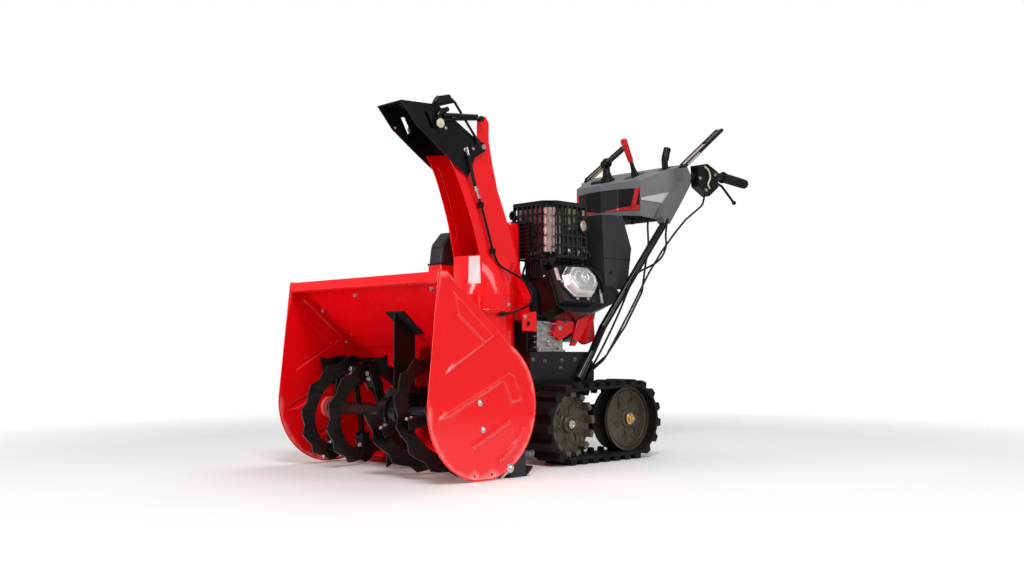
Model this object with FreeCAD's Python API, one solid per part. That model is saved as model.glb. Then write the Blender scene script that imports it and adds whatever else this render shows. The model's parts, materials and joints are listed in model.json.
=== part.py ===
"""Tracked two-stage snow blower, walk-behind, 28 inch clearing width.

Millimetres, +Z up, -Y towards the auger housing, +X towards the operator's left.
The driving sizes below are written with Y = 0 on the centre of the side plates; the
finished model is moved along Y so that its origin is the bottom centre of its box.
"""
import os

import FreeCAD
import Part
from math import acos, asin, atan2, cos, pi, radians, sin, sqrt, tan

V = FreeCAD.Vector
X_AXIS = V(1, 0, 0)
Y_AXIS = V(0, 1, 0)
Z_AXIS = V(0, 0, 1)

# ---- auger housing -------------------------------------------------------
HOUSING_WIDTH = 724.0          # over the side plates' pressed ribs
SHEET = 3.0                    # side plates and shell
RIB_RAISE = 2.5                # pressed ribs stand out by this
SIDE_R = 194.0
SIDE_Z = SIDE_R + 2.0          # centre of a side plate's round lower part
AUGER_Y = -10.0                # the auger's axis
AUGER_Z = SIDE_Z - 26.0
SIDE_TOP_Z = SIDE_Z + 360.0
SIDE_TOP_FRONT_Y = -158.0
SIDE_TOP_REAR_Y = -132.0
SIDE_FRONT_ANGLE = 176.0       # where the round part runs into the front edge
SIDE_REAR_ANGLE = 62.0         # where the sloping rear edge meets the round part
SIDE_FLAT_Z = 4.0              # cut flat along the bottom
SHELL_GAP = 2.0                # side plate stands proud of the shell by this
AUGER_TIP_R = SIDE_R - 28.0
SHELL_CLEARANCE = 10.0         # from the auger's tips to the shell
SHELL_END_ANGLE = -58.0        # shell ends here, at the scraper
SCRAPER_THICK = 5.0
SCRAPER_DEPTH = 24.0
SCRAPER_TIP_Z = 2.5
SHOE_HOLE_Y = (-33.0, 29.0)    # holes for a side skid shoe
SHOE_HOLE_Z = 16.0
SHOE_HOLE_R = 4.5
SHOE_RUNNER = ((96.0, 0.0), (160.0, 0.0), (186.0, 22.0), (186.0, 27.0), (158.0, 5.0), (96.0, 5.0))
SHOE_WEB = ((98.0, 5.0), (158.0, 5.0), (158.0, 66.0), (130.0, 66.0), (98.0, 30.0))
SHOE_WIDTH = 44.0
LIP_R = 6.0                    # rolled front lip of the roof
ROOF_BEND = 0.35               # how far the roof's bend shifts for each mm of inset
UPPER_RIB = ((-114.0, 507.0), (32.0, 388.0), (-137.0, 288.0), (-111.0, 314.0), (-1.0, 369.0), (-95.0, 442.0))
LOWER_RIB = ((-160.0, 170.0), (-137.0, 189.0), (87.0, 289.0), (108.0, 281.0), (138.0, 214.0), (98.0, 203.0),
             (68.0, 264.0), (-132.0, 172.0))
BAR_RIB = ((-46.0, 96.0), (-42.0, 84.0), (94.0, 149.0), (90.0, 161.0))
ARC_RIB_R = (149.0, 161.0)
ARC_RIB_ANGLES = (-70.0, -22.0)

# ---- blower (second stage) ----------------------------------------------
DRUM_R = 150.0                 # outside of the drum
DRUM_WALL = 3.0
DRUM_REAR_Y = 396.0
NECK_R = 92.0
NECK_TOP_Z = 467.7
COLLAR_R = NECK_R + 12.0
COLLAR_THICK = 5.0
CHUTE_X = 25.0                 # the chute stands a little to the left of centre
CHUTE_Y = 305.0
WORM_OFFSET = 42.0             # impeller's shaft runs this far above the auger's
IMPELLER_R = DRUM_R - 12.0
IMPELLER_FRONT_Y = 232.0
IMPELLER_DEPTH = 112.0
IMPELLER_BLADES = 4
BLADE_THICK = 4.0
SCOOP = 22.0
HUB_R = 26.0
SHAFT_R = 12.5
SHAFT_CLEARANCE = 0.08

# ---- auger ---------------------------------------------------------------
AUGER_TOOTH = 13.0
RIBBON_WIDTH = 38.0
RIBBON_THICK = 5.0
RIBBON_TURN = 1.05             # turns of one ribbon over its half
RIBBON_STEPS = 42
RIBBONS_PER_SIDE = 2
AUGER_TUBE_R = 19.0
ARM_WIDTH = 24.0
ARM_THICK = 6.0
ARM_SHARES = (0.06, 0.5, 0.94)
CLAMP = (30.0, 34.0, 26.0)     # along the shaft, along the arm, across
BEARING_R = 34.0
BEARING_THICK = 8.0
END_PLAY = 3.0
GEARCASE_R = 50.0
GEARCASE_LENGTH = 84.0
GEARCASE_RIM = 8.0
SNOUT_R = 30.0
SNOUT_END_Y = 104.0
STAY_Y = (-30.0, 46.0)
STAY_HALF = 44.0
RIBBON_END_GAP = 14.0

# ---- chute and deflector --------------------------------------------------
SKIRT_R = NECK_R + 6.0
SKIRT_BOTTOM_Z = NECK_TOP_Z + 0.3
SKIRT_TOP_Z = 520.0
CHUTE_WALL = 2.5
CHANNEL_HALF = 48.0            # at the hinge; the channel widens downwards
CHANNEL_HALF_BASE = 62.0
CHANNEL_TAPER_Z = 915.0        # straight above this height
CHANNEL_BASE_Z = 640.0
CHANNEL_FRONT = ((229.0, 640.0), (205.0, 730.0), (180.0, 798.0), (148.0, 872.0), (122.0, 918.0), (104.0, 940.0))
CHANNEL_REAR = ((384.0, 640.0), (347.0, 751.0), (311.0, 845.0), (290.0, 936.0), (278.0, 992.0))
WALL_TOP_REAR = (215.0, 958.0)
EAR = ((228.0, 985.0), (229.0, 1062.0), (262.0, 1072.0), (277.0, 1053.0))
EAR_FOOT = (277.0, 985.0)
HINGE_Y = 244.0
HINGE_Z = 972.0
HINGE_PIN_R = 4.0
HINGE_TAB_R = 14.0
HOOD_GAP = 5.2
HOOD_WALL = 3.0
HOOD_OUTLINE = ((-73.0, 1068.0), (63.0, 1076.0), (225.0, 990.0), (250.0, 985.0), (256.0, 962.0),
                (212.0, 935.0), (185.0, 874.0), (79.0, 941.0), (37.0, 969.0), (-19.0, 1007.0))
HOOD_PLATE_REAR = (218.0, 993.0)
HOOD_SLOT = ((12.0, 1046.0), (26.0, 1050.0), (52.0, 1006.0), (38.0, 1000.0))
ARM_RUN = ((62.0, 1030.0), (228.0, 1056.0))
ARM_ROD_R = 5.0
ARM_STAND = 8.0                # arm's centre line outside the hood's cheek
BRACKET = ((40.0, 1072.0), (66.0, 1070.0), (132.0, 1092.0), (118.0, 1104.0), (60.0, 1102.0))
LINK_END = (218.0, 986.0)

# ---- chute drive cover, on the machine's right of the chute ----------------
DRIVE_X = (-158.0, -94.0)
DRIVE_Y = (226.0, 312.0)
DRIVE_Z = (556.0, 622.0)
MOTOR_TOP_Z = 726.0
MOTOR_SLOPE = 44.0             # the cover's front slopes back by this
DRIVE_POST = (-124.0, 288.0)
DRIVE_POST_R = 10.0

# ---- belt cover -----------------------------------------------------------
COVER_FRONT_Y = DRUM_REAR_Y + 6.0
COVER_REAR_Y = COVER_FRONT_Y + 38.0
COVER_TOP_Z = 757.0
COVER_HALF_TOP = 38.0
COVER_CORNER = 10.0
COVER_BOTTOM_Z = 408.0
COVER_HOLLOW_Z = 700.0         # hollowed round the turning chute up to here
COVER_OUTLINE = ((38.0, 640.0), (52.0, 582.0), (70.0, 554.0), (88.0, 528.0), (97.0, 510.0), (94.0, 497.0),
                 (86.0, 489.0), (86.0, 468.0), (118.0, 468.0))
HOOK_X = 150.0                 # red hook plate beside the cover
HOOK = ((348.0, 408.0), (COVER_FRONT_Y, 408.0), (COVER_FRONT_Y, 468.0), (348.0, 462.0))
HOOK_HOLE = (372.0, 430.0)
HOOK_HOLE_R = 8.0

# ---- frame ------------------------------------------------------------------
FRAME_HALF = DRUM_R - 15.0
FRAME_PLATE = 4.0
FRAME_TOP_Z = 343.0
FRAME_FRONT_Y = DRUM_REAR_Y + 6.0
FRAME_REAR_Y = FRAME_FRONT_Y + 262.0
FRAME_TAIL = 28.0              # the cheeks' lower rear corner stands out by this
FRAME_BOTTOM_Z = 200.0
FRAME_NOSE_Z = 150.0
FRAME_DROP = 34.0              # cheeks reach this far below the drive axle
FRAME_PLATE_HALF = 118.0       # front plate, up behind the belt cover

# ---- engine, its parts placed from the crankshaft ---------------------------
ENGINE_FRONT_Y = COVER_REAR_Y + 8.0
BASE_HALF = 112.0
BASE_DEPTH = 118.0
BASE_TOP_Z = 440.0
CRANK_Z = 492.0
CASE_R = 104.0
CASE_DEPTH = 202.0
CYLINDER_TILT = 20.8           # degrees above level, towards the left
CYLINDER_Y = (470.0, 620.0)
CYLINDER_W = (-66.0, 50.0)     # across the cylinder's axis
HEAD_U = 200.0                 # cylinder head's face, along the cylinder's axis
COVER_RISE = 34.0
COVER_Y = (476.0, 612.0)
COVER_W = (-56.0, 40.0)
COVER_CUT = 30.0               # corners of the rocker cover
COVER_SLOPE = 14.0
COWL_U = (100.0, 177.0)
COWL_OUTLINE = ((462.0, 37.0), (462.0, -70.0), (489.0, -90.0), (606.0, -94.0), (736.0, -55.0), (780.0, -13.0),
                (762.0, 4.0), (700.0, 6.0), (678.0, 42.0), (620.0, 72.0), (551.0, 79.0), (490.0, 58.0))
FAN_DEPTH = 72.0
FAN_R = 118.0
FAN_TOP_Z = 642.0
STARTER_R = 96.0
STARTER_DEPTH = 34.0
STARTER_HUB_R = 40.0
INTAKE_X = (60.0, 155.0)
INTAKE_OUTLINE = ((713.0, 800.0), (818.0, 804.0), (837.0, 758.0), (864.0, 695.0), (842.0, 565.0), (809.0, 552.0),
                  (727.0, 552.0))
TANK_X = (-190.0, 50.0)
TANK_Y = (674.0, 856.0)
TANK_TOP_Z = 786.0
TANK_EDGE = 26.0
TANK_CAP = (-90.0, 752.0)
TANK_CAP_R = 30.0
TANK_CAP_TOP_Z = 812.0
GUARD_X = (-40.0, 160.0)
GUARD_Y = (457.0, 668.0)
GUARD_Z = (642.3, 824.0)
GUARD_WALL = 5.0
GUARD_PITCH = 22.0
GUARD_SLOT = 16.0
GUARD_ROWS = ((652.0, 679.0), (686.0, 712.0), (719.0, 745.0), (752.0, 778.0), (785.0, 811.0))
GUARD_LEG_X = (-22.0, 22.0)
GUARD_CORNER = 34.0
VENT_HALF = 74.0               # finned heat shield behind the belt cover
VENT_Z = (640.0, 766.0)
VENT_PITCH = 12.6
VENT_FIN = 5.0
MUFFLER_GAP = 15.0
MUFFLER_EDGE = 30.0
OUTLET = (160.0, 612.0, 755.0)
OUTLET_R = 22.0
PIPE_R = 17.0
PIPE_AT = (46.0, 545.0)
BRACKET_X = (90.0, 126.0)      # red brackets under the cowl
BRACKET_BLOCK = ((505.0, 402.0), (532.0, 470.0), (608.0, 476.0), (601.0, 408.0), (539.0, 379.0))
BRACKET_BAR = ((585.0, 366.0), (606.0, 366.0), (660.0, 440.0), (690.0, 486.0), (640.0, 486.0), (614.0, 440.0))
BRACKET_TAIL = ((640.0, 380.0), (668.0, 380.0), (704.0, 486.0), (640.0, 486.0))

# ---- undercarriage --------------------------------------------------------
TRACK_INNER_X = DRUM_R + 16.0
TRACK_OUTER_X = TRACK_INNER_X + 108.0
SPROCKET_Y = 453.0
IDLER_Y = SPROCKET_Y + 285.0
WHEEL_R = 99.0
IDLER_R = 103.0
RIM_GAP = 0.3                  # between a wheel's rim and the loop
BELT_THICK = 9.0
LUG_HEIGHT = 15.0
LUG_LENGTH = 30.0
LUG_COUNT = 25
LUG_SINK = 2.0
GUIDE_X = (TRACK_INNER_X + 24.0, TRACK_INNER_X + 42.0)
GUIDE_HEIGHT = 16.0
BEAM_HEIGHT = 92.0
BEAM_X = (FRAME_HALF + 6.0, FRAME_HALF + 12.0)
DISC_X = TRACK_INNER_X + 70.0
DISC_THICK = 6.0
DISC_RIM = 5.0
POCKETS = 6                    # pressed kite shapes in a disc's face
POCKET = ((0.34, 0.0), (0.60, 0.15), (0.84, 0.0), (0.60, -0.15))
POCKET_DEPTH = 2.0
TEETH = 13                     # blocks round the sprocket's rim, outside its disc
TOOTH = (15.0, 22.0, 28.0)     # radial, along the rim, along the axle
DRIVE_AXLE_R = 12.5
IDLER_AXLE_R = 10.0
AXLE_STAND = 20.0

# ---- handlebars and console -----------------------------------------------
BAR_R = 12.5
BAR_FOOT = (FRAME_HALF + BAR_R + 0.3, 602.0, 256.0)
BAR_SADDLE = (BAR_FOOT[0], 668.0, 342.0)
BAR_KNEE = (163.0, 704.0, 424.0)
BAR_BEND = (200.0, 992.0, 793.0)
BAR_SHOULDER = (226.0, 1078.0, 934.0)
BAR_WRIST = (238.0, 1142.0, 986.0)
GRIP_END = (258.0, 1396.0, 962.0)
GRIP_R = 17.0
GRIP_LENGTH = 128.0
GRIP_CAP = 3.0
CONSOLE_PLAN = ((0.0, 880.0), (75.0, 890.0), (150.0, 920.0), (196.0, 1020.0), (214.0, 1078.0), (206.0, 1100.0))
CONSOLE_SIDE = ((876.0, 822.0), (876.0, 930.0), (920.0, 938.0), (1090.0, 1006.0), (1104.0, 985.0),
                (1010.0, 800.0), (960.0, 806.0))
CONSOLE_WALL = 4.0
PILLAR_OUTLINE = ((958.0, 806.0), (974.0, 786.0), (1002.0, 786.0), (1056.0, 872.0), (1092.0, 934.0),
                  (1090.0, 962.0), (1070.0, 990.0), (1044.0, 984.0), (1050.0, 940.0))
PILLAR_X = (184.0, 240.0)
PILLAR_LEAN = ((184.0, 770.0), (213.0, 786.0), (240.0, 938.0), (240.0, 1000.0), (184.0, 1000.0))
LEVER_TIP = (227.0, 1289.0, 1154.0)
LEVER_FOOT = (227.0, 1060.0, 990.0)
LEVER_WIDTH = 28.0
LEVER_THICK = 8.0
WRIST_X = (222.0, 254.0)       # control housings behind the console
WRIST_OUTLINE = ((1112.0, 1000.0), (1170.0, 1012.0), (1232.0, 990.0), (1236.0, 935.0), (1180.0, 896.0),
                 (1116.0, 925.0))
TURN_LEVER = ((244.0, 1225.0, 955.0), (250.0, 1262.0, 940.0), (252.0, 1338.0, 884.0))
TURN_LEVER_R = 4.5
GEAR_LEVER = ((50.0, 1013.0), (50.0, 987.0, 1030.0), (50.0, 948.0, 1099.0))
CHUTE_STICK = ((-100.0, 1020.0), (-100.0, 1017.0, 1036.0))
STICK_KNOB_R = 15.0
PADDLE = ((150.0, 1060.0), (150.0, 1058.0, 1026.0), (150.0, 1070.0, 1064.0))

CABLE_R = 3.5
CABLE_BEND = 34.0
GLAND = (FRAME_HALF + 0.3, 672.0, 284.0)
WRIST_CABLE = ((232.0, 1180.0, 899.0), (229.0, 1172.0, 866.0), (222.0, 1080.0, 806.0), (216.0, 1022.0, 752.0),
               (205.0, 968.0, 690.0), (196.0, 905.0, 610.0), (184.0, 812.0, 470.0), (168.0, 716.0, 330.0),
               GLAND)
CONSOLE_CABLE = ((150.0, 960.0, 812.0), (152.0, 956.0, 775.0), (168.0, 940.0, 700.0), (182.0, 905.0, 640.0),
                 (186.0, 880.0, 545.0), (180.0, 800.0, 430.0), (164.0, 706.0, 316.0),
                 (GLAND[0], GLAND[1] - 12.0, GLAND[2] - 14.0))
CHUTE_CABLE = ((90.5, 200.0, 856.0), (90.5, 229.5, 791.0), (91.5, 254.5, 722.0), (95.5, 274.0, 652.0),
               (97.0, 284.0, 632.0))
CABLE_CLIP = (14.0, 16.0)

IMPELLER_Z = AUGER_Z + WORM_OFFSET
TRACK_THICK = RIM_GAP + BELT_THICK + LUG_HEIGHT
SPROCKET_Z = WHEEL_R + TRACK_THICK
IDLER_Z = IDLER_R + TRACK_THICK
FRONT_Y = -SIDE_R
GRIP_RUN = tuple(e - w for e, w in zip(GRIP_END, BAR_WRIST))
GRIP_SPAN = sqrt(sum(c * c for c in GRIP_RUN))
REAR_Y = GRIP_END[1] + GRIP_R * sqrt(1.0 - (GRIP_RUN[1] / GRIP_SPAN) ** 2)
PART_SHIFT_Y = -(FRONT_Y + REAR_Y) / 2.0


# ---- helpers --------------------------------------------------------------
def box(x0, x1, y0, y1, z0, z1):
    return Part.makeBox(x1 - x0, y1 - y0, z1 - z0, V(x0, y0, z0))


def rod(start, end, radius):
    """Straight round bar between two points."""
    axis = V(*end) - V(*start)
    return Part.makeCylinder(radius, axis.Length, V(*start), axis)


def cylinder_x(x0, x1, y, z, radius):
    return Part.makeCylinder(radius, x1 - x0, V(x0, y, z), X_AXIS)


def cylinder_y(y0, y1, x, z, radius):
    return Part.makeCylinder(radius, y1 - y0, V(x, y0, z), Y_AXIS)


def cylinder_z(z0, z1, x, y, radius):
    return Part.makeCylinder(radius, z1 - z0, V(x, y, z0), Z_AXIS)


def plate_yz(points, x0, x1):
    """Closed outline of (Y, Z) points, extruded from x0 to x1."""
    corners = [V(x0, y, z) for y, z in points]
    face = Part.Face(Part.makePolygon(corners + corners[:1]))
    return face.extrude(V(x1 - x0, 0, 0))


def plate_xz(points, y0, y1):
    corners = [V(x, y0, z) for x, z in points]
    face = Part.Face(Part.makePolygon(corners + corners[:1]))
    return face.extrude(V(0, y1 - y0, 0))


def mirrored(shape):
    return shape.mirror(V(0, 0, 0), X_AXIS)


def fused(shapes):
    body = shapes[0].multiFuse(shapes[1:]) if len(shapes) > 1 else shapes[0]
    return body.removeSplitter()


def bent_tube(points, radius, bend):
    """Round tube along straight runs joined by tangent arcs."""
    corners = [V(*p) for p in points]
    edges = []
    last = corners[0]
    for before, corner, after in zip(corners, corners[1:], corners[2:]):
        into = (corner - before).normalize()
        out = (after - corner).normalize()
        turn = into.getAngle(out)
        reach = bend * tan(turn / 2.0)
        start = corner - into * reach
        end = corner + out * reach
        bisector = (out - into).normalize()
        middle = corner + bisector * (bend / cos(turn / 2.0) - bend)
        edges.append(Part.LineSegment(last, start).toShape())
        edges.append(Part.Arc(start, middle, end).toShape())
        last = end
    edges.append(Part.LineSegment(last, corners[-1]).toShape())
    path = Part.Wire(edges)
    profile = Part.Wire([Part.Circle(corners[0], corners[1] - corners[0], radius).toShape()])
    return path.makePipeShell([profile], True, False)


def longest(shape):
    """The largest solid of a shape that was cut."""
    return max(shape.Solids, key=lambda solid: solid.Volume)


def on_circle(centre, radius, degrees):
    """(Y, Z) of a point on a circle."""
    return centre[0] + radius * cos(radians(degrees)), centre[1] + radius * sin(radians(degrees))


def arc_yz(centre, radius, start, end):
    """Arc edge in the plane X = 0, between two angles in degrees."""
    points = [V(0, *on_circle(centre, radius, angle)) for angle in (start, (start + end) / 2.0, end)]
    return Part.Arc(*points).toShape()


def outline_yz(steps):
    """Closed face in the plane X = 0 from arcs (edges) and corner points, in order."""
    edges = []
    first = last = None
    for step in steps:
        if isinstance(step, tuple):
            start = end = V(0, *step)
        else:
            start, end = step.firstVertex(True).Point, step.lastVertex(True).Point
        if last is not None and (start - last).Length > 1e-6:
            edges.append(Part.LineSegment(last, start).toShape())
        if not isinstance(step, tuple):
            edges.append(step)
        first = start if first is None else first
        last = end
    if (first - last).Length > 1e-6:
        edges.append(Part.LineSegment(last, first).toShape())
    return Part.Face(Part.Wire(edges))


def extruded_x(face, x0, x1):
    solid = face.extrude(V(x1 - x0, 0, 0))
    solid.translate(V(x0, 0, 0))
    return solid


# ---- auger housing --------------------------------------------------------
SIDE_CENTRE = (0.0, SIDE_Z)
AUGER_CENTRE = (AUGER_Y, AUGER_Z)
SHELL_INNER_R = AUGER_TIP_R + SHELL_CLEARANCE
HALF_INSIDE = HOUSING_WIDTH / 2.0 - RIB_RAISE - SHEET


def pressed_ribs(x0, x1):
    """The side plate's pressed pattern, standing out from x0 to x1."""
    low, high = ARC_RIB_R
    start, end = ARC_RIB_ANGLES
    arc = extruded_x(outline_yz([
        arc_yz(SIDE_CENTRE, high, start, end),
        arc_yz(SIDE_CENTRE, low, end, start),
    ]), x0, x1)
    return [plate_yz(points, x0, x1) for points in (UPPER_RIB, LOWER_RIB, BAR_RIB)] + [arc]


def side_plate(side):
    """Side of the housing: round below, upright front edge, sloping rear edge."""
    outer = HALF_INSIDE + SHEET
    flat = degrees_of(SIDE_Z - SIDE_FLAT_Z, SIDE_R)
    face = outline_yz([
        (SIDE_TOP_FRONT_Y, SIDE_TOP_Z),
        (SIDE_TOP_REAR_Y, SIDE_TOP_Z),
        arc_yz(SIDE_CENTRE, SIDE_R, SIDE_REAR_ANGLE, -flat),
        arc_yz(SIDE_CENTRE, SIDE_R, flat - 180.0, SIDE_FRONT_ANGLE - 360.0),
    ])
    plate = extruded_x(face, HALF_INSIDE, outer)
    boss = cylinder_x(HALF_INSIDE - BEARING_THICK, HALF_INSIDE, AUGER_Y, AUGER_Z, BEARING_R)
    plate = fused([plate, boss] + pressed_ribs(outer - 1.0, HOUSING_WIDTH / 2.0))
    for y in SHOE_HOLE_Y:
        plate = plate.cut(cylinder_x(outer - 2 * SHEET, outer + SHEET, y, SHOE_HOLE_Z, SHOE_HOLE_R))
    bore = cylinder_x(HALF_INSIDE - 2 * BEARING_THICK, HALF_INSIDE, AUGER_Y, AUGER_Z, SHAFT_R + SHAFT_CLEARANCE)
    plate = plate.cut(bore)
    return plate if side > 0 else mirrored(plate)


def degrees_of(opposite, hypotenuse):
    return asin(opposite / hypotenuse) * 180.0 / pi


def shell_face(inset):
    """Area behind and above the auger, bounded by the shell's surface moved in by inset."""
    low_r = SHELL_INNER_R + SHEET - inset
    high_r = SIDE_R - SHELL_GAP - inset
    back_y = AUGER_Y + low_r
    back_angle = acos(back_y / high_r) * 180.0 / pi
    top_z = SIDE_TOP_Z - SHELL_GAP - inset
    return outline_yz([
        AUGER_CENTRE,
        arc_yz(AUGER_CENTRE, low_r, SHELL_END_ANGLE, 0.0),
        arc_yz(SIDE_CENTRE, high_r, back_angle, SIDE_REAR_ANGLE),
        (SIDE_TOP_REAR_Y - inset * ROOF_BEND, top_z),
        (SIDE_TOP_FRONT_Y + SHELL_GAP, top_z),
        (SIDE_TOP_FRONT_Y + SHELL_GAP, AUGER_Z),
    ])


def housing_shell():
    """Curved back and roof between the side plates, open in front and at the impeller."""
    shell = extruded_x(shell_face(0.0), -HALF_INSIDE, HALF_INSIDE)
    shell = shell.cut(extruded_x(shell_face(SHEET), -HALF_INSIDE - 1.0, HALF_INSIDE + 1.0))
    front = SIDE_TOP_FRONT_Y + SHELL_GAP
    lip = cylinder_x(-HALF_INSIDE, HALF_INSIDE, front + LIP_R, SIDE_TOP_Z - SHELL_GAP - LIP_R, LIP_R)
    shell = fused([shell, lip])
    return shell.cut(cylinder_y(AUGER_Y, 300.0, 0, IMPELLER_Z, DRUM_R - DRUM_WALL))


def scraper():
    """Cutting bar across the foot of the shell, just off the ground."""
    high = on_circle(AUGER_CENTRE, SHELL_INNER_R + SHEET, SHELL_END_ANGLE)
    low = (high[0] - SCRAPER_DEPTH, SCRAPER_TIP_Z)
    return plate_yz([high, (high[0] + SCRAPER_THICK, high[1] - 4.0), (low[0] + 2 * SCRAPER_THICK, low[1]), low],
                    -HALF_INSIDE, HALF_INSIDE)


def skid_shoe():
    """Bent runner bolted inside the rear of a side plate."""
    runner = plate_yz(SHOE_RUNNER, HALF_INSIDE - SHOE_WIDTH, HALF_INSIDE)
    web = plate_yz(SHOE_WEB, HALF_INSIDE - 4.0, HALF_INSIDE)
    return fused([runner, web]).cut(cylinder_x(0, 400, AUGER_Y, AUGER_Z, SHELL_INNER_R + SHEET))


def blower_housing():
    """Impeller drum behind the shell, with the round outlet neck and its collar on top."""
    outer = cylinder_y(40.0, DRUM_REAR_Y, 0, IMPELLER_Z, DRUM_R)
    neck = cylinder_z(IMPELLER_Z, NECK_TOP_Z, CHUTE_X, CHUTE_Y, NECK_R)
    collar = cylinder_z(NECK_TOP_Z - COLLAR_THICK, NECK_TOP_Z, CHUTE_X, CHUTE_Y, COLLAR_R)
    shape = outer.multiFuse([neck, collar])
    shape = shape.cut(cylinder_y(0.0, DRUM_REAR_Y - DRUM_WALL, 0, IMPELLER_Z, DRUM_R - DRUM_WALL))
    shape = shape.cut(cylinder_z(IMPELLER_Z, NECK_TOP_Z + 1, CHUTE_X, CHUTE_Y, NECK_R - DRUM_WALL))
    inside = extruded_x(shell_face(0.0), -400, 400)
    shape = shape.cut(inside)
    shape = shape.cut(cylinder_x(-400, 400, AUGER_Y, AUGER_Z, SHELL_INNER_R + SHEET))
    bore = cylinder_y(DRUM_REAR_Y - 20, DRUM_REAR_Y + 20, 0, IMPELLER_Z, SHAFT_R + SHAFT_CLEARANCE)
    return shape.cut(bore).removeSplitter()


# ---- auger and impeller ---------------------------------------------------
def ribbon(x_start, x_end, phase):
    """Serrated helical flight, as a closed shell of small flat faces."""
    rings = []
    for i in range(RIBBON_STEPS + 1):
        share = i / RIBBON_STEPS
        angle = phase + 2.0 * pi * RIBBON_TURN * share
        x = x_start + (x_end - x_start) * share
        tip = AUGER_TIP_R - AUGER_TOOTH * (i % 3) / 2.0
        root = AUGER_TIP_R - AUGER_TOOTH - RIBBON_WIDTH
        corners = []
        for radius, dx in ((root, 0.0), (tip, 0.0), (tip, RIBBON_THICK), (root, RIBBON_THICK)):
            corners.append(V(x + dx, AUGER_Y + radius * cos(angle), AUGER_Z + radius * sin(angle)))
        rings.append(corners)
    faces = []

    def triangle(a, b, c):
        faces.append(Part.Face(Part.makePolygon([a, b, c, a])))

    for here, there in zip(rings, rings[1:]):
        for k in range(4):
            n = (k + 1) % 4
            triangle(here[k], here[n], there[n])
            triangle(here[k], there[n], there[k])
    for end in (rings[0], rings[-1]):
        triangle(end[0], end[1], end[2])
        triangle(end[0], end[2], end[3])
    solid = Part.Solid(Part.Shell(faces))
    if solid.Volume < 0:
        solid.reverse()
    return solid


def auger_arm(x, degrees, reach):
    """Flat arm from the tube to the ribbon, with the clamp block that holds the ribbon's foot."""
    along, out, across = CLAMP
    arm = box(x - ARM_WIDTH / 2, x + ARM_WIDTH / 2, 0.0, reach, -ARM_THICK / 2, ARM_THICK / 2)
    clamp = box(x - along / 2, x + along / 2, reach - RIBBON_WIDTH / 2 - out, reach - RIBBON_WIDTH / 2 + 6.0,
                -across / 2, across / 2)
    arm = fused([arm, clamp])
    arm.rotate(V(0, 0, 0), X_AXIS, degrees)
    arm.translate(V(0, AUGER_Y, AUGER_Z))
    return arm


def auger_flight(side):
    """One half of the auger: tube, ribbons and the arms that carry them."""
    x_in = GEARCASE_LENGTH / 2.0 + RIBBON_END_GAP
    x_out = HALF_INSIDE - RIBBON_END_GAP - RIBBON_THICK
    tube_end = HALF_INSIDE - BEARING_THICK - END_PLAY
    tube = cylinder_x(GEARCASE_LENGTH / 2.0 + END_PLAY, tube_end, AUGER_Y, AUGER_Z, AUGER_TUBE_R)
    pieces = []
    mid_r = AUGER_TIP_R - AUGER_TOOTH - RIBBON_WIDTH / 2.0
    for n in range(RIBBONS_PER_SIDE):
        phase = pi * n + (0.0 if side > 0 else pi / 2.0)
        pieces.append(ribbon(x_in, x_out, phase))
        for share in ARM_SHARES:
            angle = phase + 2.0 * pi * RIBBON_TURN * share
            x = x_in + (x_out - x_in) * share + RIBBON_THICK / 2.0
            y, z = on_circle(AUGER_CENTRE, mid_r, angle * 180.0 / pi)
            pieces.append(auger_arm(x, angle * 180.0 / pi, mid_r))
    body = tube
    for piece in pieces:
        body = body.fuse(piece)
    body = body.cut(cylinder_x(0, 400, AUGER_Y, AUGER_Z, SHAFT_R))
    return body if side > 0 else mirrored(body)


def auger_shaft():
    reach = HALF_INSIDE - 0.5
    return cylinder_x(-reach, reach, AUGER_Y, AUGER_Z, SHAFT_R)


def gearcase():
    """Worm gear case at the middle of the auger; the impeller's shaft enters it from behind."""
    half = GEARCASE_LENGTH / 2.0
    case = cylinder_x(-half, half, AUGER_Y, AUGER_Z, GEARCASE_R)
    case = case.fuse(cylinder_x(-GEARCASE_RIM / 2, GEARCASE_RIM / 2, AUGER_Y, AUGER_Z, GEARCASE_R + 6.0))
    snout = cylinder_y(AUGER_Y - SNOUT_R, SNOUT_END_Y, 0, IMPELLER_Z, SNOUT_R)
    case = fused([case, snout])
    case = case.cut(cylinder_x(-100, 100, AUGER_Y, AUGER_Z, SHAFT_R + SHAFT_CLEARANCE))
    return case.cut(cylinder_y(SNOUT_END_Y - 40.0, SNOUT_END_Y + 1.0, 0, IMPELLER_Z, SHAFT_R + SHAFT_CLEARANCE))


def gearcase_stay():
    """Black stay from the roof of the shell down to the gear case."""
    front, rear = STAY_Y
    inside = extruded_x(shell_face(SHEET), -400, 400)
    flange = extruded_x(shell_face(SHEET), -STAY_HALF, STAY_HALF)
    flange = flange.cut(extruded_x(shell_face(2 * SHEET), -400, 400))
    flange = flange.common(box(-400, 400, front, rear, AUGER_Z, SIDE_TOP_Z))
    web = box(-SHEET, SHEET, front, rear, IMPELLER_Z + SNOUT_R / 2, SIDE_TOP_Z).common(inside)
    web = web.cut(cylinder_x(-10, 10, AUGER_Y, AUGER_Z, GEARCASE_R + 6.0))
    web = web.cut(cylinder_y(-100, 200, 0, IMPELLER_Z, SNOUT_R))
    return fused([flange, web])


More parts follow.
